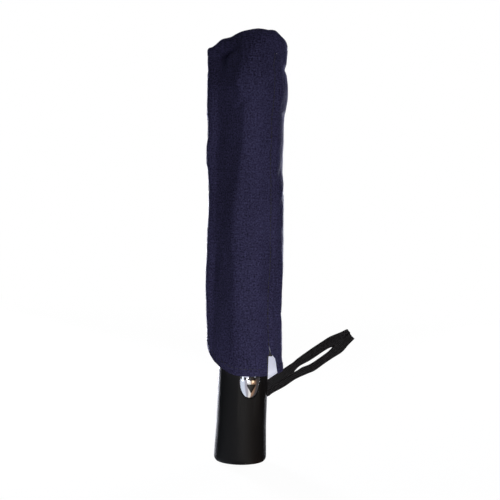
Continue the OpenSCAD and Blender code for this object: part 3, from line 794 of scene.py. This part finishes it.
# ------------------------------------------------------------------ body-driven shape
def drive(target, path, expression, variables, index=-1):
    """variables: name -> (kind, body_a, body_b); for the height kind the third entry is not used and the channel is
    always world Z
    """
    fc = target.driver_add(path, index) if index >= 0 else target.driver_add(path)
    d = fc.driver
    d.type = "SCRIPTED"
    for name, (kind, a, b) in variables.items():
        v = d.variables.new()
        v.name = name
        if kind == "turn":
            v.type = "ROTATION_DIFF"
            v.targets[0].id = frame["bodies"][a]
            v.targets[1].id = frame["bodies"][b]
        elif kind == "gap":
            v.type = "LOC_DIFF"
            v.targets[0].id = frame["bodies"][a]
            v.targets[1].id = frame["bodies"][b]
        else:
            v.type = "TRANSFORMS"
            v.targets[0].id = frame["bodies"][a]
            v.targets[0].transform_type = "LOC_Z"
            v.targets[0].transform_space = "WORLD_SPACE"
    d.expression = expression


OPEN = {"t": ("turn", "crown", "rib_top_1")}


SHOULDER = {}


def gathered(o):
    """Shape key: the sleeve pushed up into a ring of folds round the ferrule when the canopy opens under it."""
    o.shape_key_add(name="Basis")
    k = o.shape_key_add(name="gathered")
    n = len(o.data.vertices)
    co = np.zeros(n * 3)
    o.data.vertices.foreach_get("co", co)
    co = co.reshape(-1, 3)
    z = co[:, 2]
    f = np.clip((0.3045 - z) / 0.245, 0, 1)
    a = np.arctan2(co[:, 1], co[:, 0])
    r = np.hypot(co[:, 0], co[:, 1])
    if not SHOULDER:
        on = (f > 0.04) & (f < 0.06) & (r > 0.008)
        SHOULDER["a"] = np.linspace(-math.pi, math.pi, 37)[:-1]
        SHOULDER["r"] = np.array([np.median(r[on][np.abs((a[on] - t + math.pi) % (2 * math.pi) - math.pi) < 0.12])
                                  for t in SHOULDER["a"]])
    top = np.interp(a, SHOULDER["a"], SHOULDER["r"], period=2 * math.pi)
    wall = smoothstep(0.045, 0.10, f)
    g = np.clip((f - 0.10) / 0.9, 0, 1)
    rr = top + 0.0020 * wall + 0.2 * np.maximum(r - top, -0.003) * smoothstep(0.10, 0.16, f) + 0.0016 * (1 - np.cos(6 * math.pi * g))
    rr = np.where(f > 0.045, r + (rr - r) * smoothstep(0.045, 0.06, f), r)
    new = co.copy()
    m = np.maximum(r, 1e-6)
    new[:, 0] = co[:, 0] / m * rr
    new[:, 1] = co[:, 1] / m * rr
    new[:, 2] = np.maximum(z, 0.2945)
    new[:, 2] = np.where(f > 0.045, 0.2945 + 0.0095 * wall - 0.0085 * g + 0.0004 * np.sin(5 * a) * g, new[:, 2])
    k.data.foreach_set("co", new.ravel())
    v = dict(OPEN)
    v["s"] = ("gap", "sleeve", "crown")
    drive(k, "value", "min(1, t / 1.3) * (1 - min(1, s / 0.2))", v)


sol = sleeve.modifiers.new("thickness", "SOLIDIFY")
sol.thickness = 0.00032
sol.offset = -1
sol.material_offset = 1
sol.material_offset_rim = 0
sol.use_even_offset = False
gathered(sleeve)
gathered(stitches)
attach(sleeve, "sleeve")
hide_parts("sleeve")
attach(stitches, "sleeve")


# ------------------------------------------------------------------ wrist strap
def lowered(o):
    """Shape key: the root of the strap stays in its slot and bends over the edge as the loop swings down."""
    o.shape_key_add(name="Basis")
    k = o.shape_key_add(name="lowered")
    n = len(o.data.vertices)
    co = np.zeros(n * 3)
    o.data.vertices.foreach_get("co", co)
    co = co.reshape(-1, 3)
    dx, dz = co[:, 0] - 0.0106, co[:, 2] - 0.0515
    back = np.radians(60) * (1 - smoothstep(0.0185, 0.032, co[:, 0]))
    new = co.copy()
    new[:, 0] = 0.0106 + dx * np.cos(back) - dz * np.sin(back)
    new[:, 2] = 0.0515 + dx * np.sin(back) + dz * np.cos(back)
    k.data.foreach_set("co", new.ravel())
    drive(k, "value", "min(1, t / 1.0472)", {"t": ("turn", "handle", "strap")})


def build_strap():
    up = catmull([(11.0, 53.8), (19.5, 57.9), (31.4, 65.7), (37.5, 69.4), (41.3, 72.5), (50.9, 79.0), (60.5, 84.5), (66.3, 87.8),
                  (74.3, 90.9), (79.2, 93.0), (80.7, 93.0)], 10)
    tip = catmull([(80.7, 93.0), (81.9, 90.7), (84.0, 88.3), (86.6, 86.0)], 8)
    low = catmull([(86.6, 86.0), (81.8, 81.4), (77.0, 76.2), (70.1, 71.9), (63.2, 67.6), (55.5, 62.8), (49.6, 60.6), (41.0, 57.0),
                   (32.4, 51.8), (23.9, 47.6), (19.7, 44.9), (15.0, 45.0), (11.0, 48.2)], 10)
    # the two strands lie over each other at the root and at the far end
    g_up = catmull([(11.0, 49.4), (19.6, 50.4), (28.0, 55.6), (35.5, 60.4), (38.2, 62.5), (42.6, 66.6), (51.2, 70.6), (60.9, 76.6), (66.7, 79.5), (68.7, 79.8),
                    (71.5, 79.6), (75.0, 80.8), (79.5, 83.6)], 10)
    g_low = catmull([(82.6, 90.0), (78.0, 88.6), (73.0, 84.8), (70.3, 81.6), (68.7, 79.5), (64.9, 75.9), (58.1, 71.5), (51.4, 67.6), (45.5, 65.4), (40.8, 62.7),
                     (38.2, 62.2), (35.5, 61.8), (28.0, 58.4), (19.6, 53.6), (11.0, 52.2)], 10)

    def resample(p, n):
        s = np.concatenate([[0], np.cumsum(np.linalg.norm(np.diff(p, axis=0), axis=1))])
        if s[-1] < 1e-9:
            return np.repeat(p[:1], n, 0)
        q = np.linspace(0, s[-1], n)
        return np.stack([np.interp(q, s, p[:, i]) for i in range(2)], 1)

    def strand(name, outer, inner, n, y0, side):
        """Ribbon between two edge curves; y0(f) is its depth along the length."""
        o = resample(outer, n)
        i = resample(inner, n)
        m = 14
        s = np.concatenate([[0], np.cumsum(np.linalg.norm(np.diff((o + i) / 2, axis=0), axis=1))])
        verts, uv, faces = [], [], []
        half = 0.62
        for layer in (-1, 1):
            for r in range(n):
                f = r / (n - 1)
                width = np.linalg.norm(o[r] - i[r])
                for c in range(m + 1):
                    v = c / m
                    edge = abs(2 * v - 1)
                    th = half * math.sqrt(max(0.0, 1 - edge ** 6)) if edge < 1 else 0.0
                    p = o[r] * (1 - v) + i[r] * v
                    cup = 0.35 * side * (1 - (2 * v - 1) ** 2)
                    wave = 0.35 * math.sin(f * 9 + side) + 0.25 * math.sin(f * 21 + 2 * v)
                    y = y0(f, v) + cup + wave * min(1, f * 5, (1 - f) * 5 + 0.3) + layer * th
                    verts.append((p[0] * MM, y * MM, p[1] * MM))
                    uv.append((s[r] * MM, (v - 0.5) * width * MM))
        w = m + 1
        off = n * w
        for r in range(n - 1):
            for c in range(m):
                a, b, d, e = r * w + c, r * w + c + 1, (r + 1) * w + c + 1, (r + 1) * w + c
                faces.append((a, b, d, e))
                faces.append((off + a, off + e, off + d, off + b))
        for c in range(m):
            faces.append((c, off + c, off + c + 1, c + 1))
            q = (n - 1) * w + c
            faces.append((q, q + 1, off + q + 1, off + q))
        ob = new_object(name, verts, faces, [MAT["webbing"]], uvs=uv)
        bm = bmesh.new()
        bm.from_mesh(ob.data)
        bmesh.ops.remove_doubles(bm, verts=bm.verts, dist=4e-6)
        bmesh.ops.recalc_face_normals(bm, faces=bm.faces)
        bm.to_mesh(ob.data)
        bm.free()
        for pl in ob.data.polygons:
            pl.use_smooth = True
        lowered(ob)
        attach(ob, "strap")
        return ob

    outer1 = np.vstack([up, tip[1:]])
    inner1 = g_up
    a = strand("wrist_strap_upper", outer1, inner1, 110, lambda f, v: -0.75 * (1 - f ** 3) + 0.35 * f ** 3 - 0.5 * v * (1 - f), 1)
    outer2 = np.vstack([tip[4:], low[1:]])
    b = strand("wrist_strap_lower", outer2, g_low, 110, lambda f, v: 0.15 + 0.6 * math.sin(f * math.pi) + 0.5 * v * f, -1)
    return a, b


strap_a, strap_b = build_strap()
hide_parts("wrist_strap")


# ------------------------------------------------------------------ handle
grip_o = refine("grip_shell", "grip", MAT["grip"], 0.00025, 30, "handle")
refine("end_cap", "handle_end_cap", MAT["plastic"], 0.0002, 30, "handle")
refine("tip_cup", "rib_tip_cup", MAT["plastic"], 0.0002, 30, "handle")


def button_outline(w, h, m=10):
    side = [(0, -h), (0.42 * w, -0.9 * h), (0.7 * w, -0.66 * h), (0.9 * w, -0.28 * h), (w, 0.16 * h), (0.98 * w, 0.52 * h),
            (0.82 * w, 0.8 * h), (0.5 * w, 0.95 * h), (0, h)]
    c = catmull(side, m)
    return np.vstack([c, [(-x, y) for x, y in c[-2:0:-1]]])


def spring(node, name, axis, fixed, scale, expression, variables):
    """The CAD spring as its own piece, drawn out or pressed along one axis by its joint."""
    o = refine(node, name, MAT["steel"], 0, 40, "handle")
    o.shape_key_add(name="Basis")
    k = o.shape_key_add(name="moved")
    n = len(o.data.vertices)
    co = np.zeros(n * 3)
    o.data.vertices.foreach_get("co", co)
    co = co.reshape(-1, 3)
    co[:, axis] = fixed + (co[:, axis] - fixed) * scale
    k.data.foreach_set("co", co.ravel())
    drive(k, "value", expression, variables)


spring("button_spring", "button_return_spring", 1, -0.0083, 2.5 / 4.0, "min(1, b / 0.0015)", {"b": ("gap", "button", "handle")})
spring("shaft_spring", "shaft_thrust_spring", 2, 0.060, (196 + 290) / 196, "min(1, e / 0.145)", {"e": ("height", "middle_shaft", None)})

BZ = 56.5


def dome(x, z, f):
    """Depth (-Y, mm) of the button's face; f runs 0 in the middle to 1 at the rim."""
    return math.sqrt(17.9 ** 2 - x * x) - 1.9 * f ** 5 - 0.5 * f ** 2


def build_button():
    out = button_outline(7.55, 9.45)
    n = len(out)
    verts, faces = [], []
    prof = [1.0, 0.995, 0.98, 0.955, 0.92, 0.87, 0.8, 0.7, 0.58, 0.45, 0.3, 0.15]
    # skirt
    for y in (12.6, 14.6):
        for x, z in out:
            verts.append((x * MM, -y * MM, (BZ + z) * MM))
    for f in prof:
        for x, z in out:
            X, Z = x * f, z * f
            y = dome(X, Z, f)
            if f == 1.0:
                y = min(y, math.sqrt(17.9 ** 2 - X * X) - 2.4)
            verts.append((X * MM, -y * MM, (BZ + Z) * MM))
    rows = 2 + len(prof)
    for i in range(rows - 1):
        for j in range(n):
            k = (j + 1) % n
            faces.append((i * n + j, i * n + k, (i + 1) * n + k, (i + 1) * n + j))
    c = len(verts)
    verts.append((0, -dome(0, 0, 0) * MM, BZ * MM))
    for j in range(n):
        faces.append(((rows - 1) * n + j, (rows - 1) * n + (j + 1) % n, c))
    faces.append(tuple(reversed(range(n))))
    o = new_object("button", verts, faces, [MAT["chrome"]])
    fix_normals(o)
    o.data.set_sharp_from_angle(angle=math.radians(50))
    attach(o, "button")
    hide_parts("press_button")


build_button()


def build_arrows():
    tris = [[(-3.8, 3.3), (3.8, 3.3), (0, 8.7)], [(-3.9, 0.9), (3.9, 0.9), (0, -5.9)]]
    verts, faces = [], []
    m = 10
    out = button_outline(7.55, 9.45)
    oa = np.arctan2(out[:, 1], out[:, 0])
    orr = np.hypot(out[:, 0], out[:, 1])
    order = np.argsort(oa)

    def fr(x, z):
        a = math.atan2(z, x)
        return min(1.0, math.hypot(x, z) / np.interp(a, oa[order], orr[order], period=2 * math.pi))
    for t in tris:
        c = np.mean(t, 0)
        t = [np.array(p, float) for p in t]
        idx = {}
        for i in range(m + 1):
            for j in range(m + 1 - i):
                k = m - i - j
                p = (t[0] * i + t[1] * j + t[2] * k) / m
                rim = min(i, j, k) == 0
                y = dome(p[0], p[1], fr(p[0], p[1])) + (-0.02 if rim else 0.07)
                idx[(i, j)] = len(verts)
                verts.append((p[0] * MM, -y * MM, (BZ + p[1]) * MM))
        for i in range(m):
            for j in range(m - i):
                faces.append((idx[(i, j)], idx[(i + 1, j)], idx[(i, j + 1)]))
                if j < m - i - 1:
                    faces.append((idx[(i + 1, j)], idx[(i + 1, j + 1)], idx[(i, j + 1)]))
    o = new_object("button_arrow_fill", verts, faces, [MAT["arrow"]])
    bm = bmesh.new()
    bm.from_mesh(o.data)
    for fc in bm.faces:
        if fc.normal.y > 0:
            fc.normal_flip()
    bm.to_mesh(o.data)
    bm.free()
    s = o.modifiers.new("body", "SOLIDIFY")
    s.thickness = 0.0003
    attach(o, "button")
    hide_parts("button_arrows")


build_arrows()

# ------------------------------------------------------------------ canopy
HUB = 284.0


def build_canopy():
    rib = catmull([(3.0, 291.0), (9.0, 290.6), (40, 285.6), (92, 276.4), (133, 269.6), (174, 262.6), (245, 240.6), (316.6, 213.6), (360, 192.5),
                   (405, 169.2), (445, 146.6), (479.6, 124.0)], 6)
    s = np.concatenate([[0], np.cumsum(np.linalg.norm(np.diff(rib, axis=0), axis=1))])
    total = s[-1]
    lens = np.concatenate([np.linspace(0, 16, 5)[:-1], np.linspace(16, 181, 14)[:-1], np.linspace(181, 331, 11)[:-1],
                           np.linspace(331, total, 36)])
    rows = len(lens)
    R = np.interp(lens, s, rib[:, 0])
    H = np.interp(lens, s, rib[:, 1])
    first, wound = 6, 64
    per = first + 2 * wound
    n = 8 * per
    Y0, R0 = 18.65, 19.0
    gapl = R0 * math.pi / 4
    # folded heights down each section of the rib chain
    def folded(L):
        if L < 16:
            return 291.0 - 1.2 * (L / 16) ** 2, None
        if L < 181:
            return 289.6 - (L - 16) * (289.6 - 120) / 165, 0
        if L < 331:
            return 120 + (L - 181) * (272 - 120) / 150, 1
        return 272 - (L - 331) * (272 - 85.5) / (total - 331), 2
    closed, opened, uvs = [], [], []
    for i, L in enumerate(lens):
        z, sec = folded(L)
        W = 2 * R[i] * math.sin(math.radians(22.5))
        for g in range(8):
            p0 = math.radians(45 * g + 22.5)
            p1 = p0 + math.pi / 4
            a0 = np.array([R[i] * math.cos(p0), R[i] * math.sin(p0)])
            a1 = np.array([R[i] * math.cos(p1), R[i] * math.sin(p1)])
            # columns: up to the next rib, out to the fold of the pleat, and back over the same places
            l1 = (W + gapl) / 2
            if W > gapl * 1.02:
                stops = (gapl / W, l1 / W)
            else:
                stops = (0.6, 0.8)
            for c in range(per):
                if c <= first:
                    t = stops[0] * c / first
                elif c <= first + wound:
                    t = stops[0] + (stops[1] - stops[0]) * (c - first) / wound
                else:
                    t = stops[1] + (1 - stops[1]) * (c - first - wound) / wound
                b = 4 * t * (1 - t)
                f = L / total
                q = a0 * (1 - t) + a1 * t
                pull = 1 - 0.035 * b * smoothstep(0.55, 1.0, f)
                zo = H[i] + (H[0] - H[i]) * 0.0
                sag = 5.0 * b * math.sin(math.pi * min(1, f)) * 0.9
                zz = zo - sag + b * smoothstep(0.55, 1.0, f) * 6.5
                opened.append((q[0] * pull * MM, q[1] * pull * MM, zz * MM))
                uvs.append(((t - 0.5) * W * MM + g * 0.5, L * MM))
                # folded: half the panel wraps from one rib, half from the next, over a shared pleat
                ell = t * W
                if sec is None:
                    rr = 3.0 + (L / 16) * 8
                    an = p0 + (p1 - p0) * t
                    closed.append((rr * math.cos(an) * MM, rr * math.sin(an) * MM, z * MM))
                    continue
                under = 0.0
                if W <= gapl * 1.02:
                    an = p0 + (p1 - p0) * t
                    dist = 0.0
                    tip = 0.0
                else:
                    dist = ell if c <= first + wound else W - ell + gapl
                    an = p0 + dist / R0
                    tip = math.exp(-((l1 - dist) / 2.6) ** 2)
                    if c > first + wound:
                        under = smoothstep(0.0, 1.8, l1 - dist)
                if sec < 2:
                    near_top = 1 - smoothstep(40, 70, L)
                    r = Y0 - 0.12 * (2 - sec) + 0.0006 * dist - 0.05 * under + near_top * (0.14 - 0.12 * under)
                    if L < 34:
                        k = (L - 16) / 18
                        r = 11 + (r - 11) * math.sin(k * math.pi / 2)
                        z = 289.8 - 5.5 * (1 - math.cos(k * math.pi / 2))
                    zc = z
                else:
                    # wound pleats: each lies over the next, with a rounded fold at its edge and a soft billow
                    r = Y0 + 0.0105 * dist - 0.125 * under + 0.24 * tip * min(1, (L - 331) / 20)
                    r += 0.15 * math.sin(3 * an + z * 0.05) * min(1, dist / 60)
                    zc = z - 0.006 * dist * math.sin((L - 331) / (total - 331) * math.pi)
                closed.append((r * math.cos(an) * MM, r * math.sin(an) * MM, zc * MM))
    faces = []
    for i in range(rows - 1):
        for j in range(n):
            k = (j + 1) % n
            a, b, c, d = i * n + j, (i + 1) * n + j, (i + 1) * n + k, i * n + k
            if j % per < first + wound:
                faces.extend([(a, b, d), (b, c, d)])
            else:
                faces.extend([(a, b, c), (a, c, d)])
    o = new_object("canopy_cloth", closed, faces, [MAT["canopy"], MAT["silver"]], uvs=uvs)
    o.shape_key_add(name="Basis")
    k = o.shape_key_add(name="open")
    k.data.foreach_set("co", np.array(opened).ravel())
    drive(k, "value", "min(1, max(0, t / 1.3963))", OPEN)
    sl = o.modifiers.new("coating", "SOLIDIFY")
    sl.thickness = 0.000012
    sl.offset = -1
    sl.material_offset = 1
    sl.material_offset_rim = 0
    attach(o, "crown")
    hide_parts("canopy")
    return o


canopy = build_canopy()


def build_closure():
    """Tie band round the folded canopy; undone and hanging from the canopy edge when open."""
    n, m = 120, 8
    f22 = math.radians(22.5)
    er = np.array([math.cos(f22), math.sin(f22), 0])
    et = np.array([-math.sin(f22), math.cos(f22), 0])
    closed, opened, uvs = [], [], []
    length = 168.0
    # path of the loose band: straight down, then winding up on itself as it has been kept wound
    dd = np.linspace(0, length, 400)
    turn = np.cumsum(np.where(dd > 34, 1 / np.interp(dd, [34, 60, 90, length], [60.0, 24.0, 15.0, 8.0]), 0.0)) * (dd[1] - dd[0])
    down = np.cumsum(np.cos(turn)) * (dd[1] - dd[0])
    over = np.cumsum(np.sin(turn)) * (dd[1] - dd[0])
    for i in range(n + 1):
        f = i / n
        an = f22 + 0.15 + f * (2 * math.pi + 0.75)
        r = 21.25 + 0.45 * smoothstep(0.84, 0.92, f)
        for j in range(m + 1):
            v = j / m - 0.5
            closed.append((r * math.cos(an) * MM, r * math.sin(an) * MM, (141 + v * 17 + 0.35 * math.sin(an * 2)) * MM))
            d = f * length
            # hangs down in the open canopy: inward and down in the closed frame
            base = er * 18.4 + np.array([0, 0, 92.0])
            way = er * (-0.883) + np.array([0, 0, -0.469])
            side = et
            bend = np.interp(d, dd, over)
            p = base + way * np.interp(d, dd, down) + side * (v * 17 + 5.0 * f * f) + (er * 0.469 + np.array([0, 0, -0.883])) * bend
            opened.append(tuple(p * MM))
            uvs.append((d * MM, v * 0.017))
    faces = []
    w = m + 1
    for i in range(n):
        for j in range(m):
            faces.append((i * w + j, (i + 1) * w + j, (i + 1) * w + j + 1, i * w + j + 1))
    o = new_object("closure_band", closed, faces, [MAT["canopy"]], uvs=uvs)
    o.shape_key_add(name="Basis")
    k = o.shape_key_add(name="open")
    k.data.foreach_set("co", np.array(opened).ravel())
    drive(k, "value", "min(1, max(0, t / 1.3963))", OPEN)
    s = o.modifiers.new("thick", "SOLIDIFY")
    s.thickness = 0.0005
    s.offset = 1
    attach(o, "rib_end_1")
    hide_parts("closure_strap")


build_closure()

# ------------------------------------------------------------------ metal and plastic carried over from the frame
for node, mat in (("handle_core", "plastic"), ("outer_bush", "plastic"), ("middle_bush", "plastic"),
                  ("outer_tube", "tube"), ("middle_tube", "tube"), ("inner_tube", "tube"),
                  ("strap_pin", "steel"), ("latch_pin", "steel"), ("latch_lever", "steel"), ("crown_ring_wire", "steel"), ("runner_ring_wire", "steel"), ("canopy_washer", "steel"),
                  ("crown_notch", "plastic"), ("runner", "plastic"), ("ferrule_cap", "plastic")):
    me = NODES[node].data
    me.materials.clear()
    me.materials.append(MAT[mat])
for k in range(1, 9):
    for kind in ("rib_top", "stretcher", "rib_middle", "rib_end"):
        me = NODES[f"{kind}_{k}"].data
        me.materials.clear()
        me.materials.append(MAT["rib"])


# ------------------------------------------------------------------ stage
def floor():
    """Pale studio floor: bright to the camera like a lit sweep, darker to every other ray so it doesn't flood the object."""
    t = Tree("pale_floor")
    co = t.coord()
    w = t.noise(co, 8.0, 3.0)
    t.set(color=t.ramp(w, [(0.3, (0.38, 0.38, 0.38, 1)), (0.7, (0.42, 0.42, 0.42, 1))]), rough=0.85, spec=0.05,
          normal=t.bump(t.noise(co, 400.0, 2.0), 0.02, 0.0002))
    lp = t.node("ShaderNodeLightPath")
    # bright chrome needs a room to reflect: cool white on the left, warm on the right, by direction from the object
    c = t.split(co)
    side = t.math("ADD", t.math("MULTIPLY", c[0], float(RIGHT[0])), t.math("MULTIPLY", c[1], float(RIGHT[1])))
    near = t.math("ADD", t.math("MULTIPLY", c[0], float(-BACK[0])), t.math("MULTIPLY", c[1], float(-BACK[1])))
    az = t.math("MULTIPLY_ADD", t.math("ARCTAN2", side, near), 1 / math.pi, 0.5)
    deg = lambda d: 0.5 + d / 180
    room = t.ramp(az, [(deg(-85), (0.10, 0.12, 0.16, 1)), (deg(-66), (0.80, 0.88, 1.0, 1)), (deg(-22), (0.82, 0.87, 1.0, 1)),
                       (deg(-10), (0.46, 0.45, 0.52, 1)), (deg(12), (0.44, 0.41, 0.45, 1)), (deg(19), (1.0, 0.96, 0.92, 1)),
                       (deg(33), (1.0, 0.93, 0.86, 1)), (deg(40), (0.42, 0.24, 0.14, 1)), (deg(62), (0.30, 0.17, 0.10, 1)),
                       (deg(84), (0.06, 0.05, 0.05, 1))])
    mirror = t.node("ShaderNodeEmission")
    t.link(room, mirror.inputs["Color"])
    mirror.inputs["Strength"].default_value = 1.0
    glow = t.node("ShaderNodeEmission")
    glow.inputs["Color"].default_value = (1, 1, 1, 1)
    glow.inputs["Strength"].default_value = 1.13
    add = t.node("ShaderNodeMixShader")
    away = t.math("SQRT", t.math("ADD", t.math("MULTIPLY", c[0], c[0]), t.math("MULTIPLY", c[1], c[1])))
    away = t.math("MULTIPLY_ADD", away, 1 / 0.9, -0.3, clamp=True)
    t.link(t.math("MULTIPLY", lp.outputs["Is Camera Ray"], t.math("MULTIPLY_ADD", away, 0.14, 0.86)), add.inputs[0])
    t.link(t.math("MULTIPLY_ADD", away, -0.13, 1.13), glow.inputs["Strength"])
    t.link(t.p.outputs[0], add.inputs[1])
    t.link(glow.outputs[0], add.inputs[2])
    both = t.node("ShaderNodeMixShader")
    t.link(t.math("MULTIPLY", lp.outputs["Is Glossy Ray"], 0.85), both.inputs[0])
    t.link(add.outputs[0], both.inputs[1])
    t.link(mirror.outputs[0], both.inputs[2])
    t.link(both.outputs[0], t.out.inputs[0])
    me = bpy.data.meshes.new("floor")
    r = 14.0
    me.from_pydata([(-r, -r, -0.0004), (r, -r, -0.0004), (r, r, -0.0004), (-r, r, -0.0004)], [], [(0, 1, 2, 3)])
    me.materials.append(t.m)
    o = bpy.data.objects.new("floor", me)
    bpy.context.scene.collection.objects.link(o)


floor()


def area(name, loc, aim, size, energy, color=(1, 1, 1), size_y=None):
    l = bpy.data.lights.new(name, "AREA")
    l.energy = energy
    l.color = color
    l.shape = "RECTANGLE"
    l.size = size
    l.size_y = size_y or size
    o = bpy.data.objects.new(name, l)
    o.location = loc
    o.rotation_mode = "QUATERNION"
    o.rotation_quaternion = (Vector(aim) - Vector(loc)).to_track_quat("-Z", "Y")
    o.visible_camera = False
    bpy.context.scene.collection.objects.link(o)
    return o


def at(right, back, up):
    v = RIGHT * right + BACK * back
    return (v[0], v[1], up)


AIM = (0, 0, 0.12)
key = area("key", at(0.36, -1.20, 0.08), (0, 0, 0.015), 0.36, 0.68, (1.0, 0.99, 0.985))
key.data.spread = math.radians(48)
area("fill", at(0.1, -1.0, 1.1), (0, 0, 0.15), 0.8, 0.1, (0.95, 0.97, 1.0))
rim = area("rim_left", at(-0.50, 0.87, 0.03), (0, 0, 0.0), 0.22, 4.2, (0.86, 0.88, 1.0), 0.4)
rim.data.spread = math.radians(50)
rim = area("rim_right", at(0.47, 0.90, 0.04), (0, 0, 0.0), 0.22, 1.3, (0.88, 0.90, 1.0), 0.4)
rim.data.spread = math.radians(50)
# cards that only show as reflections in the chrome
for card in (area("card_left", at(-0.36, -0.40, 0.10), (0, 0, 0.056), 0.22, 0.30, (0.84, 0.91, 1.0), 0.30),
             area("card_right", at(0.34, -0.30, 0.08), (0, 0, 0.056), 0.10, 0.14, (1.0, 0.70, 0.45), 0.30),
             area("card_front", at(-0.04, -0.62, -0.10), (0, 0, 0.056), 0.10, 0.05, (1.0, 0.97, 0.93), 0.20)):
    card.visible_diffuse = False

world = bpy.data.worlds.new("studio")
bpy.context.scene.world = world
world.use_nodes = True
wt = world.node_tree
wt.nodes.clear()
wo = wt.nodes.new("ShaderNodeOutputWorld")
b1 = wt.nodes.new("ShaderNodeBackground")
b2 = wt.nodes.new("ShaderNodeBackground")
b1.inputs[0].default_value = (1, 1, 1, 1)
b1.inputs[1].default_value = 0.03
b2.inputs[0].default_value = (1, 1, 1, 1)
b2.inputs[1].default_value = 1.0
lp = wt.nodes.new("ShaderNodeLightPath")
mx = wt.nodes.new("ShaderNodeMixShader")
wt.links.new(lp.outputs["Is Camera Ray"], mx.inputs[0])
wt.links.new(b1.outputs[0], mx.inputs[1])
wt.links.new(b2.outputs[0], mx.inputs[2])
wt.links.new(mx.outputs[0], wo.inputs[0])

scene = bpy.context.scene
scene.view_settings.view_transform = "Standard"
scene.view_settings.look = "None"
scene.view_settings.exposure = 0.0

# ------------------------------------------------------------------ camera
DIST = 0.72
FIELD = 0.353
ELEV = math.radians(2.5)
ROLL = math.radians(2.2)
cam_data = bpy.data.cameras.new("camera")
cam_data.sensor_width = 36
cam_data.lens = 36 * DIST / FIELD
cam = bpy.data.objects.new("camera", cam_data)
scene.collection.objects.link(cam)
scene.camera = cam
aim = Vector(tuple(RIGHT * 0.0015)) + Vector((0, 0, 0.1498))
back = Vector(tuple(-BACK * math.cos(ELEV))) + Vector((0, 0, math.sin(ELEV)))
rig = bpy.data.objects.new("camera_rig", None)
scene.collection.objects.link(rig)
cam.parent = rig
cam.location = aim + back * DIST
cam.rotation_mode = "QUATERNION"
q = (-back).to_track_quat("-Z", "Y")
roll = Matrix.Rotation(ROLL, 4, "Z").to_quaternion()
cam.rotation_quaternion = q @ roll
# the rig steps back only when the canopy opens, the shaft extends or the sleeve comes off
rig_vars = {"t": ("turn", "crown", "rib_top_1"), "e": ("height", "middle_shaft", None), "s": ("gap", "sleeve", "crown")}
far = "max(1.55 * t / 1.396, max(0.62 * e / 0.145, 0.62 * s / 0.25) + 0.30 * min(e / 0.145, s / 0.25))"
rise = "(0.145 * e / 0.145 + 0.12 * s / 0.25 - 0.06 * t / 1.396)"
lamp = area("overhead", at(-0.9, -1.7, 1.6), (0, 0, 0.35), 1.2, 0.0)
drive(lamp.data, "energy", f"30 * min(1, {far})", rig_vars)
for i in range(3):
    drive(rig, "location", f"{back[i]:.6f} * {far}" + (f" + {rise}" if i == 2 else ""), rig_vars, i)
